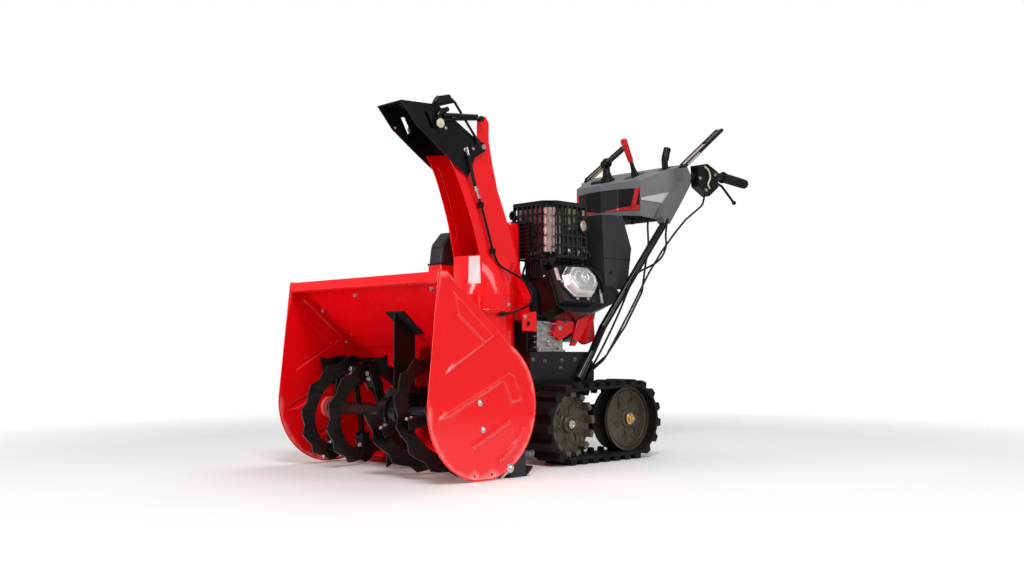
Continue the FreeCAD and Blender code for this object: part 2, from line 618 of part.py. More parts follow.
def impeller():
    front, rear = IMPELLER_FRONT_Y, IMPELLER_FRONT_Y + IMPELLER_DEPTH
    pieces = [cylinder_y(front - 6.0, rear + 10.0, 0, IMPELLER_Z, HUB_R)]
    foot = IMPELLER_Z + HUB_R - 6.0
    top = IMPELLER_Z + IMPELLER_R
    for n in range(IMPELLER_BLADES):
        blade = box(-BLADE_THICK / 2, BLADE_THICK / 2, front, rear, foot, top)
        scoop = box(-BLADE_THICK / 2 - SCOOP, BLADE_THICK / 2, front, rear, top - 40.0, top - 40.0 + BLADE_THICK)
        back = box(-26.0, 26.0, rear - BLADE_THICK, rear, foot, top - 30.0)
        arm = fused([blade, scoop, back])
        arm.rotate(V(0, 0, IMPELLER_Z), Y_AXIS, 360.0 / IMPELLER_BLADES * n)
        pieces.append(arm)
    return fused(pieces).cut(cylinder_y(front - 10, rear + 20, 0, IMPELLER_Z, SHAFT_R))


def impeller_shaft():
    return cylinder_y(SNOUT_END_Y - 38.0, DRUM_REAR_Y + 5.0, 0, IMPELLER_Z, SHAFT_R)


# ---- chute ----------------------------------------------------------------
def chute_outline():
    return list(CHANNEL_FRONT) + [WALL_TOP_REAR, (HINGE_Y, HINGE_Z)] + list(reversed(CHANNEL_REAR))


def channel_wedge(inset):
    """Block as wide as the channel at each height, less the inset."""
    top, base = CHANNEL_HALF - inset, CHANNEL_HALF_BASE - inset
    points = [(base, CHANNEL_BASE_Z - 0.01), (top, CHANNEL_TAPER_Z), (top, 1200.0), (-top, 1200.0),
              (-top, CHANNEL_TAPER_Z), (-base, CHANNEL_BASE_Z - 0.01)]
    return plate_xz([(CHUTE_X + x, z) for x, z in points], -100.0, 600.0)


def chute_channel():
    """Round skirt, transition and the open-fronted channel above it."""
    x0, x1 = CHUTE_X - CHANNEL_HALF, CHUTE_X + CHANNEL_HALF
    base = CHANNEL_HALF_BASE
    skirt = cylinder_z(SKIRT_BOTTOM_Z, SKIRT_TOP_Z, CHUTE_X, CHUTE_Y, SKIRT_R)
    skirt = skirt.cut(cylinder_z(SKIRT_BOTTOM_Z - 1, SKIRT_TOP_Z + 1, CHUTE_X, CHUTE_Y, SKIRT_R - CHUTE_WALL))

    def section(radius, inset, low, high):
        circle = Part.Wire([Part.Circle(V(CHUTE_X, CHUTE_Y, low), Z_AXIS, radius).toShape()])
        left, right = CHUTE_X - base + inset, CHUTE_X + base - inset
        front, rear = CHANNEL_FRONT[0][0] + inset, CHANNEL_REAR[0][0] - inset
        corners = [V(left, front, high), V(right, front, high), V(right, rear, high), V(left, rear, high)]
        square = Part.makePolygon(corners + corners[:1])
        return Part.makeLoft([circle, square], True, True)

    cone = section(SKIRT_R, 0.0, SKIRT_TOP_Z, CHANNEL_BASE_Z)
    cone = cone.cut(section(SKIRT_R - CHUTE_WALL, CHUTE_WALL, SKIRT_TOP_Z, CHANNEL_BASE_Z))
    solid = plate_yz(chute_outline(), CHUTE_X - base - 10.0, CHUTE_X + base + 10.0).common(channel_wedge(0.0))
    rear_in = [(y - CHUTE_WALL - 0.4, z) for y, z in CHANNEL_REAR]
    (y0, z0), (y1, z1) = rear_in[0], rear_in[-1]
    room = [(-50.0, z0 - 20.0), (y0, z0 - 20.0)] + rear_in + [(y1, z1 + 60.0), (-50.0, z1 + 60.0)]
    room = plate_yz(room, CHUTE_X - base - 20.0, CHUTE_X + base + 20.0).common(channel_wedge(CHUTE_WALL))
    channel = solid.cut(room)
    ear = plate_yz([(HINGE_Y, HINGE_Z - 4.0)] + list(EAR) + [EAR_FOOT], x1 - CHUTE_WALL, x1)
    tabs = [cylinder_x(x0, x0 + CHUTE_WALL, HINGE_Y, HINGE_Z, HINGE_TAB_R),
            cylinder_x(x1 - CHUTE_WALL, x1, HINGE_Y, HINGE_Z, HINGE_TAB_R)]
    shape = fused([skirt, cone, channel, ear] + tabs)
    return shape.cut(cylinder_x(x0 - 10, x1 + 10, HINGE_Y, HINGE_Z, HINGE_PIN_R + 0.05))


def hood():
    """Deflector hood: two cheeks outside the channel and the top plate between them."""
    inner = CHANNEL_HALF + HOOD_GAP
    outer = inner + HOOD_WALL
    cheeks = [plate_yz(HOOD_OUTLINE, CHUTE_X + inner, CHUTE_X + outer),
              plate_yz(HOOD_OUTLINE, CHUTE_X - outer, CHUTE_X - inner)]
    tip, crown, rear = HOOD_OUTLINE[0], HOOD_OUTLINE[1], HOOD_PLATE_REAR
    t = HOOD_WALL
    top = plate_yz([tip, crown, rear, (rear[0] - t * 0.5, rear[1] - t), (crown[0] - 1.0, crown[1] - t),
                    (tip[0] + t, tip[1] - t)], CHUTE_X - outer, CHUTE_X + outer)
    shape = fused(cheeks + [top]).cut(plate_yz(HOOD_SLOT, CHUTE_X - outer - 1, CHUTE_X + outer + 1))
    return shape.cut(cylinder_x(-200, 200, HINGE_Y, HINGE_Z, HINGE_PIN_R))


def hood_pins():
    inner = CHANNEL_HALF - 8.0
    outer = CHANNEL_HALF + HOOD_GAP + HOOD_WALL
    pins = []
    for side in (1, -1):
        shaft = cylinder_x(inner, outer, HINGE_Y, HINGE_Z, HINGE_PIN_R)
        head = cylinder_x(outer, outer + 5.0, HINGE_Y, HINGE_Z, 2 * HINGE_PIN_R)
        pin = fused([shaft, head])
        pin = pin if side > 0 else mirrored(pin)
        pin.translate(V(CHUTE_X, 0, 0))
        pins.append(pin)
    return Part.makeCompound(pins)


def deflector_arm():
    """Bracket on the hood, the diagonal link behind it and the arm to the chute's ear."""
    cheek = CHUTE_X + CHANNEL_HALF + HOOD_GAP + HOOD_WALL
    x = cheek + ARM_STAND
    (y0, z0), (y1, z1) = ARM_RUN
    arm = rod((x, y0, z0), (x, y1, z1), ARM_ROD_R)
    boss = cylinder_x(cheek, x + ARM_ROD_R + 1.5, y0, z0, 2 * ARM_ROD_R)
    eye = cylinder_x(x - ARM_ROD_R - 1.5, x + ARM_ROD_R + 1.5, y1, z1, 1.8 * ARM_ROD_R)
    bracket = plate_yz(BRACKET, cheek, cheek + SHEET)
    bracket = bracket.fuse(box(cheek, cheek + SHEET, y0 - 8.0, y0 + 8.0, z0, BRACKET[1][1] + 6.0))
    link_x = cheek + SHEET / 2 + ARM_ROD_R
    link = rod((link_x, BRACKET[2][0] - 10.0, BRACKET[2][1] + 2.0), (link_x, *LINK_END), ARM_ROD_R - 1.0)
    foot = cylinder_x(cheek, link_x + 3.0, *LINK_END, 1.6 * ARM_ROD_R)
    return fused([arm, boss, eye, bracket, link, foot])


def chute_drive():
    """Red gear housing of the chute's drive beside its neck, on a post from the blower housing."""
    post = cylinder_z(IMPELLER_Z, DRIVE_Z[0] + 1.0, *DRIVE_POST, DRIVE_POST_R)
    post = post.cut(cylinder_y(0.0, 500.0, 0, IMPELLER_Z, DRUM_R))
    return fused([box(*DRIVE_X, *DRIVE_Y, *DRIVE_Z), post])


def motor_cover():
    """Grey cover of the chute motor: front sloped back, edges rounded."""
    (y0, y1), z0 = DRIVE_Y, DRIVE_Z[1]
    side = [(y0, z0), (y1, z0), (y1, MOTOR_TOP_Z), (y0 + MOTOR_SLOPE, MOTOR_TOP_Z)]
    side.append((y0 + 8.0, z0 + 0.6 * (MOTOR_TOP_Z - z0)))
    cover = plate_yz(side, *DRIVE_X)
    return cover.makeFillet(10.0, [edge for edge in cover.Edges if edge.BoundBox.ZMin > z0 + 1.0])


def chute_cable():
    """Deflector cable where it runs down the chute's wall, in two clips."""
    cable = bent_tube(CHUTE_CABLE, CABLE_R, CABLE_BEND)
    width, height = CABLE_CLIP
    clips = []
    for x, y, z in CHUTE_CABLE[1:4:2]:
        clips.append(box(CHUTE_X, x + CABLE_R + 1.5, y - width / 2, y + width / 2, z - height / 2, z + height / 2))
    return longest(fused([cable] + clips).cut(solid_chute()))


def solid_chute():
    """The channel's outer body without its inside, for seating what is fixed to its wall."""
    return plate_yz(chute_outline(), CHUTE_X - 100.0, CHUTE_X + 100.0).common(channel_wedge(0.0))


def belt_cover():
    """Tall red cover of the drive belts: narrow at the top, wide over the blower."""
    half = [(COVER_HALF_TOP - COVER_CORNER, COVER_TOP_Z), (COVER_HALF_TOP, COVER_TOP_Z - COVER_CORNER)]
    half += list(COVER_OUTLINE)
    half.append((COVER_OUTLINE[-1][0], COVER_BOTTOM_Z))
    outline = half + [(-x, z) for x, z in reversed(half)]
    cover = plate_xz(outline, COVER_FRONT_Y, COVER_REAR_Y)
    cover = cover.cut(cylinder_z(COVER_BOTTOM_Z - 1.0, COVER_HOLLOW_Z, CHUTE_X, CHUTE_Y, COLLAR_R + 2.0))
    hook = plate_yz(HOOK, HOOK_X - SHEET, HOOK_X)
    hook = hook.cut(cylinder_x(HOOK_X - 10, HOOK_X + 10, *HOOK_HOLE, HOOK_HOLE_R))
    inner, low, high = COVER_OUTLINE[-1][0] - SHEET, HOOK[1][1], COVER_OUTLINE[-1][1]
    web = box(inner, HOOK_X, COVER_FRONT_Y, COVER_FRONT_Y + SHEET, low, high)
    flange = box(HOOK_X - SHEET, HOOK_X, COVER_FRONT_Y - SHEET, COVER_FRONT_Y + SHEET, low, high)
    return fused([cover, hook, web, flange])


# ---- frame ------------------------------------------------------------------
def frame():
    """Black chassis box between the tracks, hung on the drive axle."""
    tail = FRAME_REAR_Y + FRAME_TAIL
    outline = [(FRAME_FRONT_Y, FRAME_TOP_Z), (FRAME_REAR_Y, FRAME_TOP_Z), (tail, FRAME_TOP_Z - 1.5 * FRAME_TAIL),
               (tail, FRAME_BOTTOM_Z + 2.0 * FRAME_TAIL), (FRAME_REAR_Y, FRAME_BOTTOM_Z),
               (SPROCKET_Y + 60.0, FRAME_BOTTOM_Z), (SPROCKET_Y + 30.0, SPROCKET_Z - FRAME_DROP),
               (SPROCKET_Y - 30.0, SPROCKET_Z - FRAME_DROP), (FRAME_FRONT_Y, FRAME_NOSE_Z)]
    side = plate_yz(outline, FRAME_HALF - FRAME_PLATE, FRAME_HALF)
    top = box(-FRAME_HALF, FRAME_HALF, FRAME_FRONT_Y, FRAME_REAR_Y, FRAME_TOP_Z - FRAME_PLATE, FRAME_TOP_Z)
    rear = box(-FRAME_HALF, FRAME_HALF, FRAME_REAR_Y - FRAME_PLATE, FRAME_REAR_Y, FRAME_BOTTOM_Z, FRAME_TOP_Z)
    front = box(-FRAME_HALF, FRAME_HALF, DRUM_REAR_Y, FRAME_FRONT_Y, FRAME_NOSE_Z - 30.0, FRAME_TOP_Z)
    front = front.fuse(box(-FRAME_PLATE_HALF, FRAME_PLATE_HALF, DRUM_REAR_Y, FRAME_FRONT_Y, FRAME_TOP_Z - 10.0,
                           BASE_TOP_Z))
    front = front.cut(cylinder_y(DRUM_REAR_Y - 6, FRAME_FRONT_Y + 6, 0, IMPELLER_Z, SHAFT_R + 6.0))
    front = front.cut(cylinder_z(IMPELLER_Z, NECK_TOP_Z, CHUTE_X, CHUTE_Y, NECK_R))
    shape = fused([side, mirrored(side), top, rear, front])
    return shape.cut(cylinder_x(-200, 200, SPROCKET_Y, SPROCKET_Z, DRIVE_AXLE_R + SHAFT_CLEARANCE))


def transmission():
    case = box(-70.0, 70.0, FRAME_FRONT_Y, SPROCKET_Y + 150.0, SPROCKET_Z - 26.0, SPROCKET_Z + 120.0)
    case = case.cut(box(-80, 80, FRAME_FRONT_Y - 10, FRAME_FRONT_Y + 14.0, IMPELLER_Z - 30.0, 300.0))
    case = case.cut(box(-80, 80, SPROCKET_Y + 50.0, SPROCKET_Y + 160.0, 0.0, FRAME_BOTTOM_Z + 5.0))
    return case.cut(cylinder_x(-200, 200, SPROCKET_Y, SPROCKET_Z, DRIVE_AXLE_R + SHAFT_CLEARANCE))


# ---- engine ---------------------------------------------------------------
def on_cylinder(shape):
    """Moves a shape drawn with X along the cylinder's axis and Z across it into place."""
    shape.rotate(V(0, 0, 0), Y_AXIS, -CYLINDER_TILT)
    shape.translate(V(0, 0, CRANK_Z))
    return shape


def engine_block():
    """Base, crankcase and sloping cylinder, one plain solid."""
    front = ENGINE_FRONT_Y
    base = box(-BASE_HALF, BASE_HALF, front, front + BASE_DEPTH, FRAME_TOP_Z, BASE_TOP_Z)
    case = cylinder_y(front, front + CASE_DEPTH, 0, CRANK_Z, CASE_R)
    barrel = on_cylinder(box(0.0, HEAD_U, *CYLINDER_Y, *CYLINDER_W))
    return fused([base, case, barrel])


def rocker_cover():
    """Eight-sided pressed cover on the cylinder head."""
    def ring(u, inset):
        y0, y1 = COVER_Y[0] + inset, COVER_Y[1] - inset
        w0, w1 = COVER_W[0] + inset, COVER_W[1] - inset
        cut = COVER_CUT - inset / 2
        corners = [(y0 + cut, w0), (y1 - cut, w0), (y1, w0 + cut), (y1, w1 - cut), (y1 - cut, w1), (y0 + cut, w1),
                   (y0, w1 - cut), (y0, w0 + cut)]
        points = [V(u, y, w) for y, w in corners]
        return Part.makePolygon(points + points[:1])

    rim = HEAD_U + 0.4 * COVER_RISE
    foot = Part.makeLoft([ring(HEAD_U, 0.0), ring(rim, 0.0)], True, True)
    crown = Part.makeLoft([ring(rim, 0.0), ring(HEAD_U + COVER_RISE, COVER_SLOPE)], True, True)
    return on_cylinder(fused([foot, crown]))


def lower_shroud():
    """Dark cowl round the cylinder's lower half."""
    cowl = plate_yz(COWL_OUTLINE, *COWL_U)
    cowl = on_cylinder(cowl).cut(engine_block())
    cowl = cowl.cut(fan_shroud())
    return max(cowl.Solids, key=lambda solid: solid.Volume)


def guard_slots():
    """Openings of the muffler's guard, as boxes that run through both walls."""
    slots = []
    x0, x1 = GUARD_X
    y0, y1 = GUARD_Y
    for low, high in GUARD_ROWS:
        count = int((x1 - x0 - GUARD_PITCH) / GUARD_PITCH)
        first = (x0 + x1 - GUARD_PITCH * (count - 1)) / 2.0
        for n in range(count):
            x = first + GUARD_PITCH * n
            slots.append(box(x - GUARD_SLOT / 2, x + GUARD_SLOT / 2, y0 - 1, y1 + 1, low, high))
        count = int((y1 - y0 - GUARD_PITCH) / GUARD_PITCH)
        first = (y0 + y1 - GUARD_PITCH * (count - 1)) / 2.0
        for n in range(count):
            y = first + GUARD_PITCH * n
            slots.append(box(x0 - 1, x1 + 1, y - GUARD_SLOT / 2, y + GUARD_SLOT / 2, low, high))
    return slots


def muffler_guard():
    """Slotted black cage over the muffler, with the finned heat shield in front of it."""
    x0, x1 = GUARD_X
    y0, y1 = GUARD_Y
    z0, z1 = GUARD_Z
    wall = GUARD_WALL
    shell = box(x0, x1, y0, y1, z0, z1)
    shell = shell.makeChamfer(GUARD_CORNER, [edge for edge in shell.Edges if edge_is_upright(edge)])
    shell = shell.cut(box(x0 + wall, x1 - wall, y0 + wall, y1 - wall, z0 - 1, z1 - wall))
    shell = shell.cut(Part.makeCompound(guard_slots()))
    legs = [box(*GUARD_LEG_X, y0, y0 + wall, CRANK_Z, z0 + 8.0), box(*GUARD_LEG_X, y1 - wall, y1, CRANK_Z, z0 + 8.0)]
    vent = box(-VENT_HALF, VENT_HALF, COVER_REAR_Y + 1.0, y0, *VENT_Z)
    gap = VENT_PITCH - VENT_FIN
    z = VENT_Z[0] + VENT_FIN
    while z < VENT_Z[1] - VENT_FIN:
        vent = vent.cut(box(-VENT_HALF - 1, VENT_HALF + 1, COVER_REAR_Y, y0 - wall, z, z + gap))
        z += VENT_PITCH
    return fused([shell, vent] + legs).cut(engine_block()).cut(fan_shroud())


def edge_is_upright(edge):
    start, end = (vertex.Point for vertex in edge.Vertexes)
    return abs(start.x - end.x) < 1e-6 and abs(start.y - end.y) < 1e-6


def muffler():
    """Rounded silencer inside the guard, its pipe to the cylinder and its outlet."""
    gap = GUARD_WALL + MUFFLER_GAP
    can = box(GUARD_X[0] + gap, GUARD_X[1] - gap, GUARD_Y[0] + gap, GUARD_Y[1] - gap, GUARD_Z[0] + gap, GUARD_Z[1] - gap)
    can = can.makeFillet(MUFFLER_EDGE, [edge for edge in can.Edges if edge_is_upright(edge)])
    x, y, z = OUTLET
    outlet = cylinder_x(GUARD_X[1] - gap - 2, x + 8.0, y, z, OUTLET_R)
    outlet = outlet.cut(cylinder_x(x - 6.0, x + 9.0, y, z, OUTLET_R - SHEET))
    pipe = cylinder_z(CRANK_Z, GUARD_Z[0] + gap + 2.0, *PIPE_AT, PIPE_R)
    body = fused([can, pipe]).cut(engine_block())
    outlet = outlet.common(cylinder_x(0, x - GUARD_WALL - 0.5, y, z, OUTLET_R + 1))
    return fused([body, outlet])


def fan_shroud():
    """Round fan housing behind the crankcase, square on top where the tank rests."""
    y0 = ENGINE_FRONT_Y + CASE_DEPTH
    drum = cylinder_y(y0, y0 + FAN_DEPTH, 0, CRANK_Z, FAN_R)
    top = box(-FAN_R, FAN_R * 0.5, y0, y0 + FAN_DEPTH, CRANK_Z, FAN_TOP_Z)
    return fused([drum, top])


def recoil_starter():
    y0 = ENGINE_FRONT_Y + CASE_DEPTH + FAN_DEPTH
    dish = Part.makeCone(STARTER_R, STARTER_R - 14.0, STARTER_DEPTH, V(0, y0, CRANK_Z), Y_AXIS)
    hub = cylinder_y(y0 + STARTER_DEPTH, y0 + STARTER_DEPTH + 8.0, 0, CRANK_Z, STARTER_HUB_R)
    handle = box(-24.0, 24.0, y0 + STARTER_DEPTH - 1.0, y0 + STARTER_DEPTH + 12.0, CRANK_Z + 46.0, CRANK_Z + 62.0)
    return fused([dish, hub, handle])


def intake_cover():
    """Snow cover of the carburettor, behind the rocker cover on the left."""
    return plate_yz(INTAKE_OUTLINE, *INTAKE_X).cut(lower_shroud()).cut(fan_shroud()).cut(recoil_starter())


def fuel_tank():
    tank = box(*TANK_X, *TANK_Y, FAN_TOP_Z, TANK_TOP_Z)
    tank = tank.makeFillet(TANK_EDGE, [edge for edge in tank.Edges if edge_is_upright(edge)])
    tank = tank.makeFillet(TANK_EDGE / 2, [edge for edge in tank.Edges if edge.BoundBox.ZMin > TANK_TOP_Z - 1.0])
    cap = cylinder_z(TANK_TOP_Z - 1.0, TANK_CAP_TOP_Z, *TANK_CAP, TANK_CAP_R)
    return fused([tank, cap])


def engine_bracket():
    """Red brackets that hold the engine's left side."""
    block = plate_yz(BRACKET_BLOCK, *BRACKET_X)
    bar = plate_yz(BRACKET_BAR, BRACKET_X[1] - 16.0, BRACKET_X[1])
    tail = plate_yz(BRACKET_TAIL, BRACKET_X[1] - 30.0, BRACKET_X[1] - 16.0)
    shape = fused([block, bar, tail]).cut(lower_shroud()).cut(engine_block()).cut(fan_shroud())
    return max(shape.Solids, key=lambda solid: solid.Volume)


# ---- undercarriage --------------------------------------------------------
def loop_path(offset):
    """The loop's centres, radii, end angles and straight length, offset outward from the rims."""
    front, rear = V(0, SPROCKET_Y, SPROCKET_Z), V(0, IDLER_Y, IDLER_Z)
    axis = rear - front
    span = axis.Length
    tilt = atan2(axis.z, axis.y)
    r1, r2 = WHEEL_R + offset, IDLER_R + offset
    lean = asin((r2 - r1) / span)
    top, bottom = tilt + pi / 2 + lean, tilt - pi / 2 - lean
    straight = span * cos(lean)
    return front, rear, r1, r2, top, bottom, straight


def loop_face(offset):
    front, rear, r1, r2, top, bottom, _ = loop_path(offset)
    deg = 180.0 / pi
    return outline_yz([
        arc_yz((front.y, front.z), r1, top * deg, bottom * deg + 360.0),
        arc_yz((rear.y, rear.z), r2, bottom * deg, top * deg),
    ])


def loop_station(offset, run):
    """Point and outward direction at a distance along the loop, starting over the sprocket."""
    front, rear, r1, r2, top, bottom, straight = loop_path(offset)
    front_arc = r1 * (2.0 * pi - (top - bottom))
    rear_arc = r2 * (top - bottom)
    total = front_arc + rear_arc + 2.0 * straight
    run = run % total
    if run < front_arc:
        angle = top + run / r1
        centre, radius = front, r1
    elif run < front_arc + straight:
        out = V(0, cos(bottom), sin(bottom))
        start = front + out * r1
        return start + V(0, -out.z, out.y) * (run - front_arc), out, total
    elif run < front_arc + straight + rear_arc:
        angle = bottom + (run - front_arc - straight) / r2
        centre, radius = rear, r2
    else:
        out = V(0, cos(top), sin(top))
        start = rear + out * r2
        return start + V(0, -out.z, out.y) * (run - front_arc - straight - rear_arc), out, total
    out = V(0, cos(angle), sin(angle))
    return centre + out * radius, out, total


def loop_block(run_share, offset, foot, top, rise0, rise1, x0, x1):
    """Tapered block on the loop: half lengths at its foot and top, and the heights of both."""
    total = loop_station(offset, 0.0)[2]
    point, out, _ = loop_station(offset, total * run_share)
    along = V(0, -out.z, out.y)
    corners = []
    for run, rise in ((-foot, rise0), (foot, rise0), (top, rise1), (-top, rise1)):
        corner = point + along * run + out * rise
        corners.append((corner.y, corner.z))
    return plate_yz(corners, x0, x1)


def track(side):
    """Rubber loop with its cleats outside and guide blocks inside, one fixed piece."""
    rim = RIM_GAP + BELT_THICK
    belt = extruded_x(loop_face(rim), TRACK_INNER_X, TRACK_OUTER_X)
    belt = belt.cut(extruded_x(loop_face(RIM_GAP), TRACK_INNER_X - 1, TRACK_OUTER_X + 1))
    half = LUG_LENGTH / 2.0
    blocks = []
    for n in range(LUG_COUNT):
        share = (n + 0.5) / LUG_COUNT
        blocks.append(loop_block(share, rim, half, half * 0.7, -LUG_SINK, LUG_HEIGHT, TRACK_INNER_X, TRACK_OUTER_X))
        blocks.append(loop_block(share, RIM_GAP, half * 0.6, half * 0.35, LUG_SINK, -GUIDE_HEIGHT, *GUIDE_X))
    shape = belt.multiFuse(blocks)
    return shape if side > 0 else mirrored(shape)


def wheel_pockets(y, z, radius):
    """Shallow kite shapes pressed into a disc's outer face."""
    pockets = []
    for n in range(POCKETS):
        turn = 2.0 * pi * n / POCKETS + 0.3
        points = []
        for out, across in POCKET:
            reach = radius * sqrt(out * out + across * across)
            angle = turn + atan2(across, out)
            points.append((y + reach * cos(angle), z + reach * sin(angle)))
        pockets.append(plate_yz(points, DISC_X - POCKET_DEPTH, DISC_X + 1.0))
    return pockets


def wheel(y, z, radius, axle_r):
    """Double-disc wheel on one hub, set back inside the loop."""
    outer = cylinder_x(DISC_X - DISC_THICK, DISC_X, y, z, radius)
    inner = cylinder_x(TRACK_INNER_X + 10.0, TRACK_INNER_X + 10.0 + DISC_THICK, y, z, radius)
    hub = cylinder_x(TRACK_INNER_X + 2.0, DISC_X + 12.0, y, z, 2.0 * axle_r)
    shape = fused([outer, inner, hub]).cut(Part.makeCompound(wheel_pockets(y, z, radius)))
    return shape.cut(cylinder_x(0, 400, y, z, axle_r))


def sprocket():
    """Drive wheel, with a ring of blocks outside its disc."""
    radial, along, wide = TOOTH
    tooth = box(DISC_X, DISC_X + wide, -along / 2, along / 2, WHEEL_R - 1.0 - radial, WHEEL_R - 2.0)
    teeth = []
    for n in range(TEETH):
        block = tooth.copy()
        block.rotate(V(0, 0, 0), X_AXIS, 360.0 * n / TEETH)
        block.translate(V(0, SPROCKET_Y, SPROCKET_Z))
        teeth.append(block)
    return fused([wheel(SPROCKET_Y, SPROCKET_Z, WHEEL_R, DRIVE_AXLE_R)] + teeth)


def idler():
    """Rear wheel, with a low rim round its face."""
    rim = cylinder_x(DISC_X, DISC_X + DISC_THICK, IDLER_Y, IDLER_Z, IDLER_R)
    rim = rim.cut(cylinder_x(DISC_X, DISC_X + DISC_THICK, IDLER_Y, IDLER_Z, IDLER_R - DISC_RIM))
    return fused([wheel(IDLER_Y, IDLER_Z, IDLER_R, IDLER_AXLE_R), rim])


def track_frame():
    """Side beam inside the loop, from the drive axle to the idler's axle."""
    half = BEAM_HEIGHT / 2.0
    beam = plate_yz([(SPROCKET_Y - half, SPROCKET_Z - half), (IDLER_Y + half, IDLER_Z - half),
                     (IDLER_Y + half, IDLER_Z + half), (SPROCKET_Y - half, SPROCKET_Z + half)], *BEAM_X)
    beam = beam.cut(cylinder_x(0, 400, SPROCKET_Y, SPROCKET_Z, DRIVE_AXLE_R))
    return beam.cut(cylinder_x(0, 400, IDLER_Y, IDLER_Z, IDLER_AXLE_R))


def axle(y, z, radius):
    reach = DISC_X + AXLE_STAND
    return cylinder_x(-reach, reach, y, z, radius)


# ---- handlebars and console -----------------------------------------------
def handlebar():
    end = tuple(e - GRIP_CAP * run / GRIP_SPAN for e, run in zip(GRIP_END, GRIP_RUN))
    return bent_tube([BAR_FOOT, BAR_SADDLE, BAR_KNEE, BAR_BEND, BAR_SHOULDER, BAR_WRIST, end], BAR_R, 40.0)


def grip():
    end = V(*GRIP_END)
    back = (V(*BAR_WRIST) - end).normalize()
    start = end + back * GRIP_LENGTH
    sleeve = Part.makeCylinder(GRIP_R, GRIP_LENGTH, start, back * -1)
    return sleeve.cut(Part.makeCylinder(BAR_R, GRIP_LENGTH - GRIP_CAP, start, back * -1))


def clutch_lever():
    foot, tip = V(*LEVER_FOOT), V(*LEVER_TIP)
    along = tip - foot
    lever = Part.makeBox(LEVER_WIDTH, LEVER_THICK, along.Length, V(-LEVER_WIDTH / 2, -LEVER_THICK / 2, 0))
    lever.rotate(V(0, 0, 0), X_AXIS, -atan2(along.y, along.z) * 180.0 / pi)
    lever.translate(foot)
    return lever.cut(console())


def pillar():
    """Rear corner of the console, closed round the handlebar's tube."""
    return plate_yz(PILLAR_OUTLINE, *PILLAR_X).common(plate_xz(PILLAR_LEAN, 900.0, 1200.0))


def console_top_z(y):
    """Height of the console's sloping top."""
    (y0, z0), (y1, z1) = CONSOLE_SIDE[2], CONSOLE_SIDE[3]
    return z0 + (z1 - z0) * (y - y0) / (y1 - y0)


def console():
    """Hollow console, open below: its plan crossed with its side outline, and a pillar each side."""
    plan = list(CONSOLE_PLAN) + [(-x, y) for x, y in reversed(CONSOLE_PLAN) if x > 0]
    wall = CONSOLE_WALL

    def crossed(inset, side_points):
        corners = [V(x * (1.0 - inset / 200.0), y + inset * (1.0 if y < 1000.0 else -1.0), 700.0) for x, y in plan]
        face = Part.Face(Part.makePolygon(corners + corners[:1]))
        return face.extrude(V(0, 0, 400.0)).common(plate_yz(side_points, -300.0, 300.0))

    outer = crossed(0.0, CONSOLE_SIDE)
    (fy, _), (_, ft), (my, mt), (ry, rt), (by, bt), (uy, uz), _ = CONSOLE_SIDE
    hollow = [(fy, uz - 40.0), (fy, ft - wall), (my, mt - wall), (ry - wall, rt - wall), (by - 2 * wall, bt),
              (uy - 2 * wall - 20.0, uz - 40.0)]
    shell = outer.cut(crossed(wall, hollow))
    shape = fused([shell, pillar(), mirrored(pillar())])
    bar = handlebar()
    return shape.cut(bar).cut(mirrored(bar))


def wrist_housing():
    """Black housing of the controls at the bend of the handlebar, with the turning lever under the grip."""
    case = plate_yz(WRIST_OUTLINE, *WRIST_X).cut(pillar())
    lever = bent_tube(TURN_LEVER, TURN_LEVER_R, 12.0)
    return fused([case, lever]).cut(handlebar())


def stick(points, radii, top_shape=None):
    """Upright control that starts in the console's top."""
    (x, y), rest = points[0], points[1:]
    last = (x, y, console_top_z(y) - 2.0)
    pieces = []
    for point, radius in zip(rest, radii):
        pieces.append(rod(last, point, radius))
        last = point
    if top_shape:
        pieces.append(top_shape)
    return fused(pieces).cut(console())


def control_levers():
    gear = stick(GEAR_LEVER, (5.0, 9.0))
    knob = Part.makeSphere(STICK_KNOB_R, V(*CHUTE_STICK[1]))
    chute = stick(CHUTE_STICK, (6.0,), knob)
    paddle = stick(PADDLE, (7.0, 11.0))
    housing = wrist_housing()
    return Part.makeCompound([gear, chute, paddle, housing, mirrored(housing)])


def control_cables():
    """Cables held from the controls down to the frame's side."""
    wrist = bent_tube(WRIST_CABLE, CABLE_R, CABLE_BEND)
    under = bent_tube(CONSOLE_CABLE, CABLE_R, CABLE_BEND)
    ends = [wrist, mirrored(wrist), under]
    seats = [console(), control_levers(), frame()]
    return Part.makeCompound([longest(cable.cut(seats)) for cable in ends])


def pair(shape):
    """The same piece on the left and on the right."""
    return Part.makeCompound([shape, mirrored(shape)])


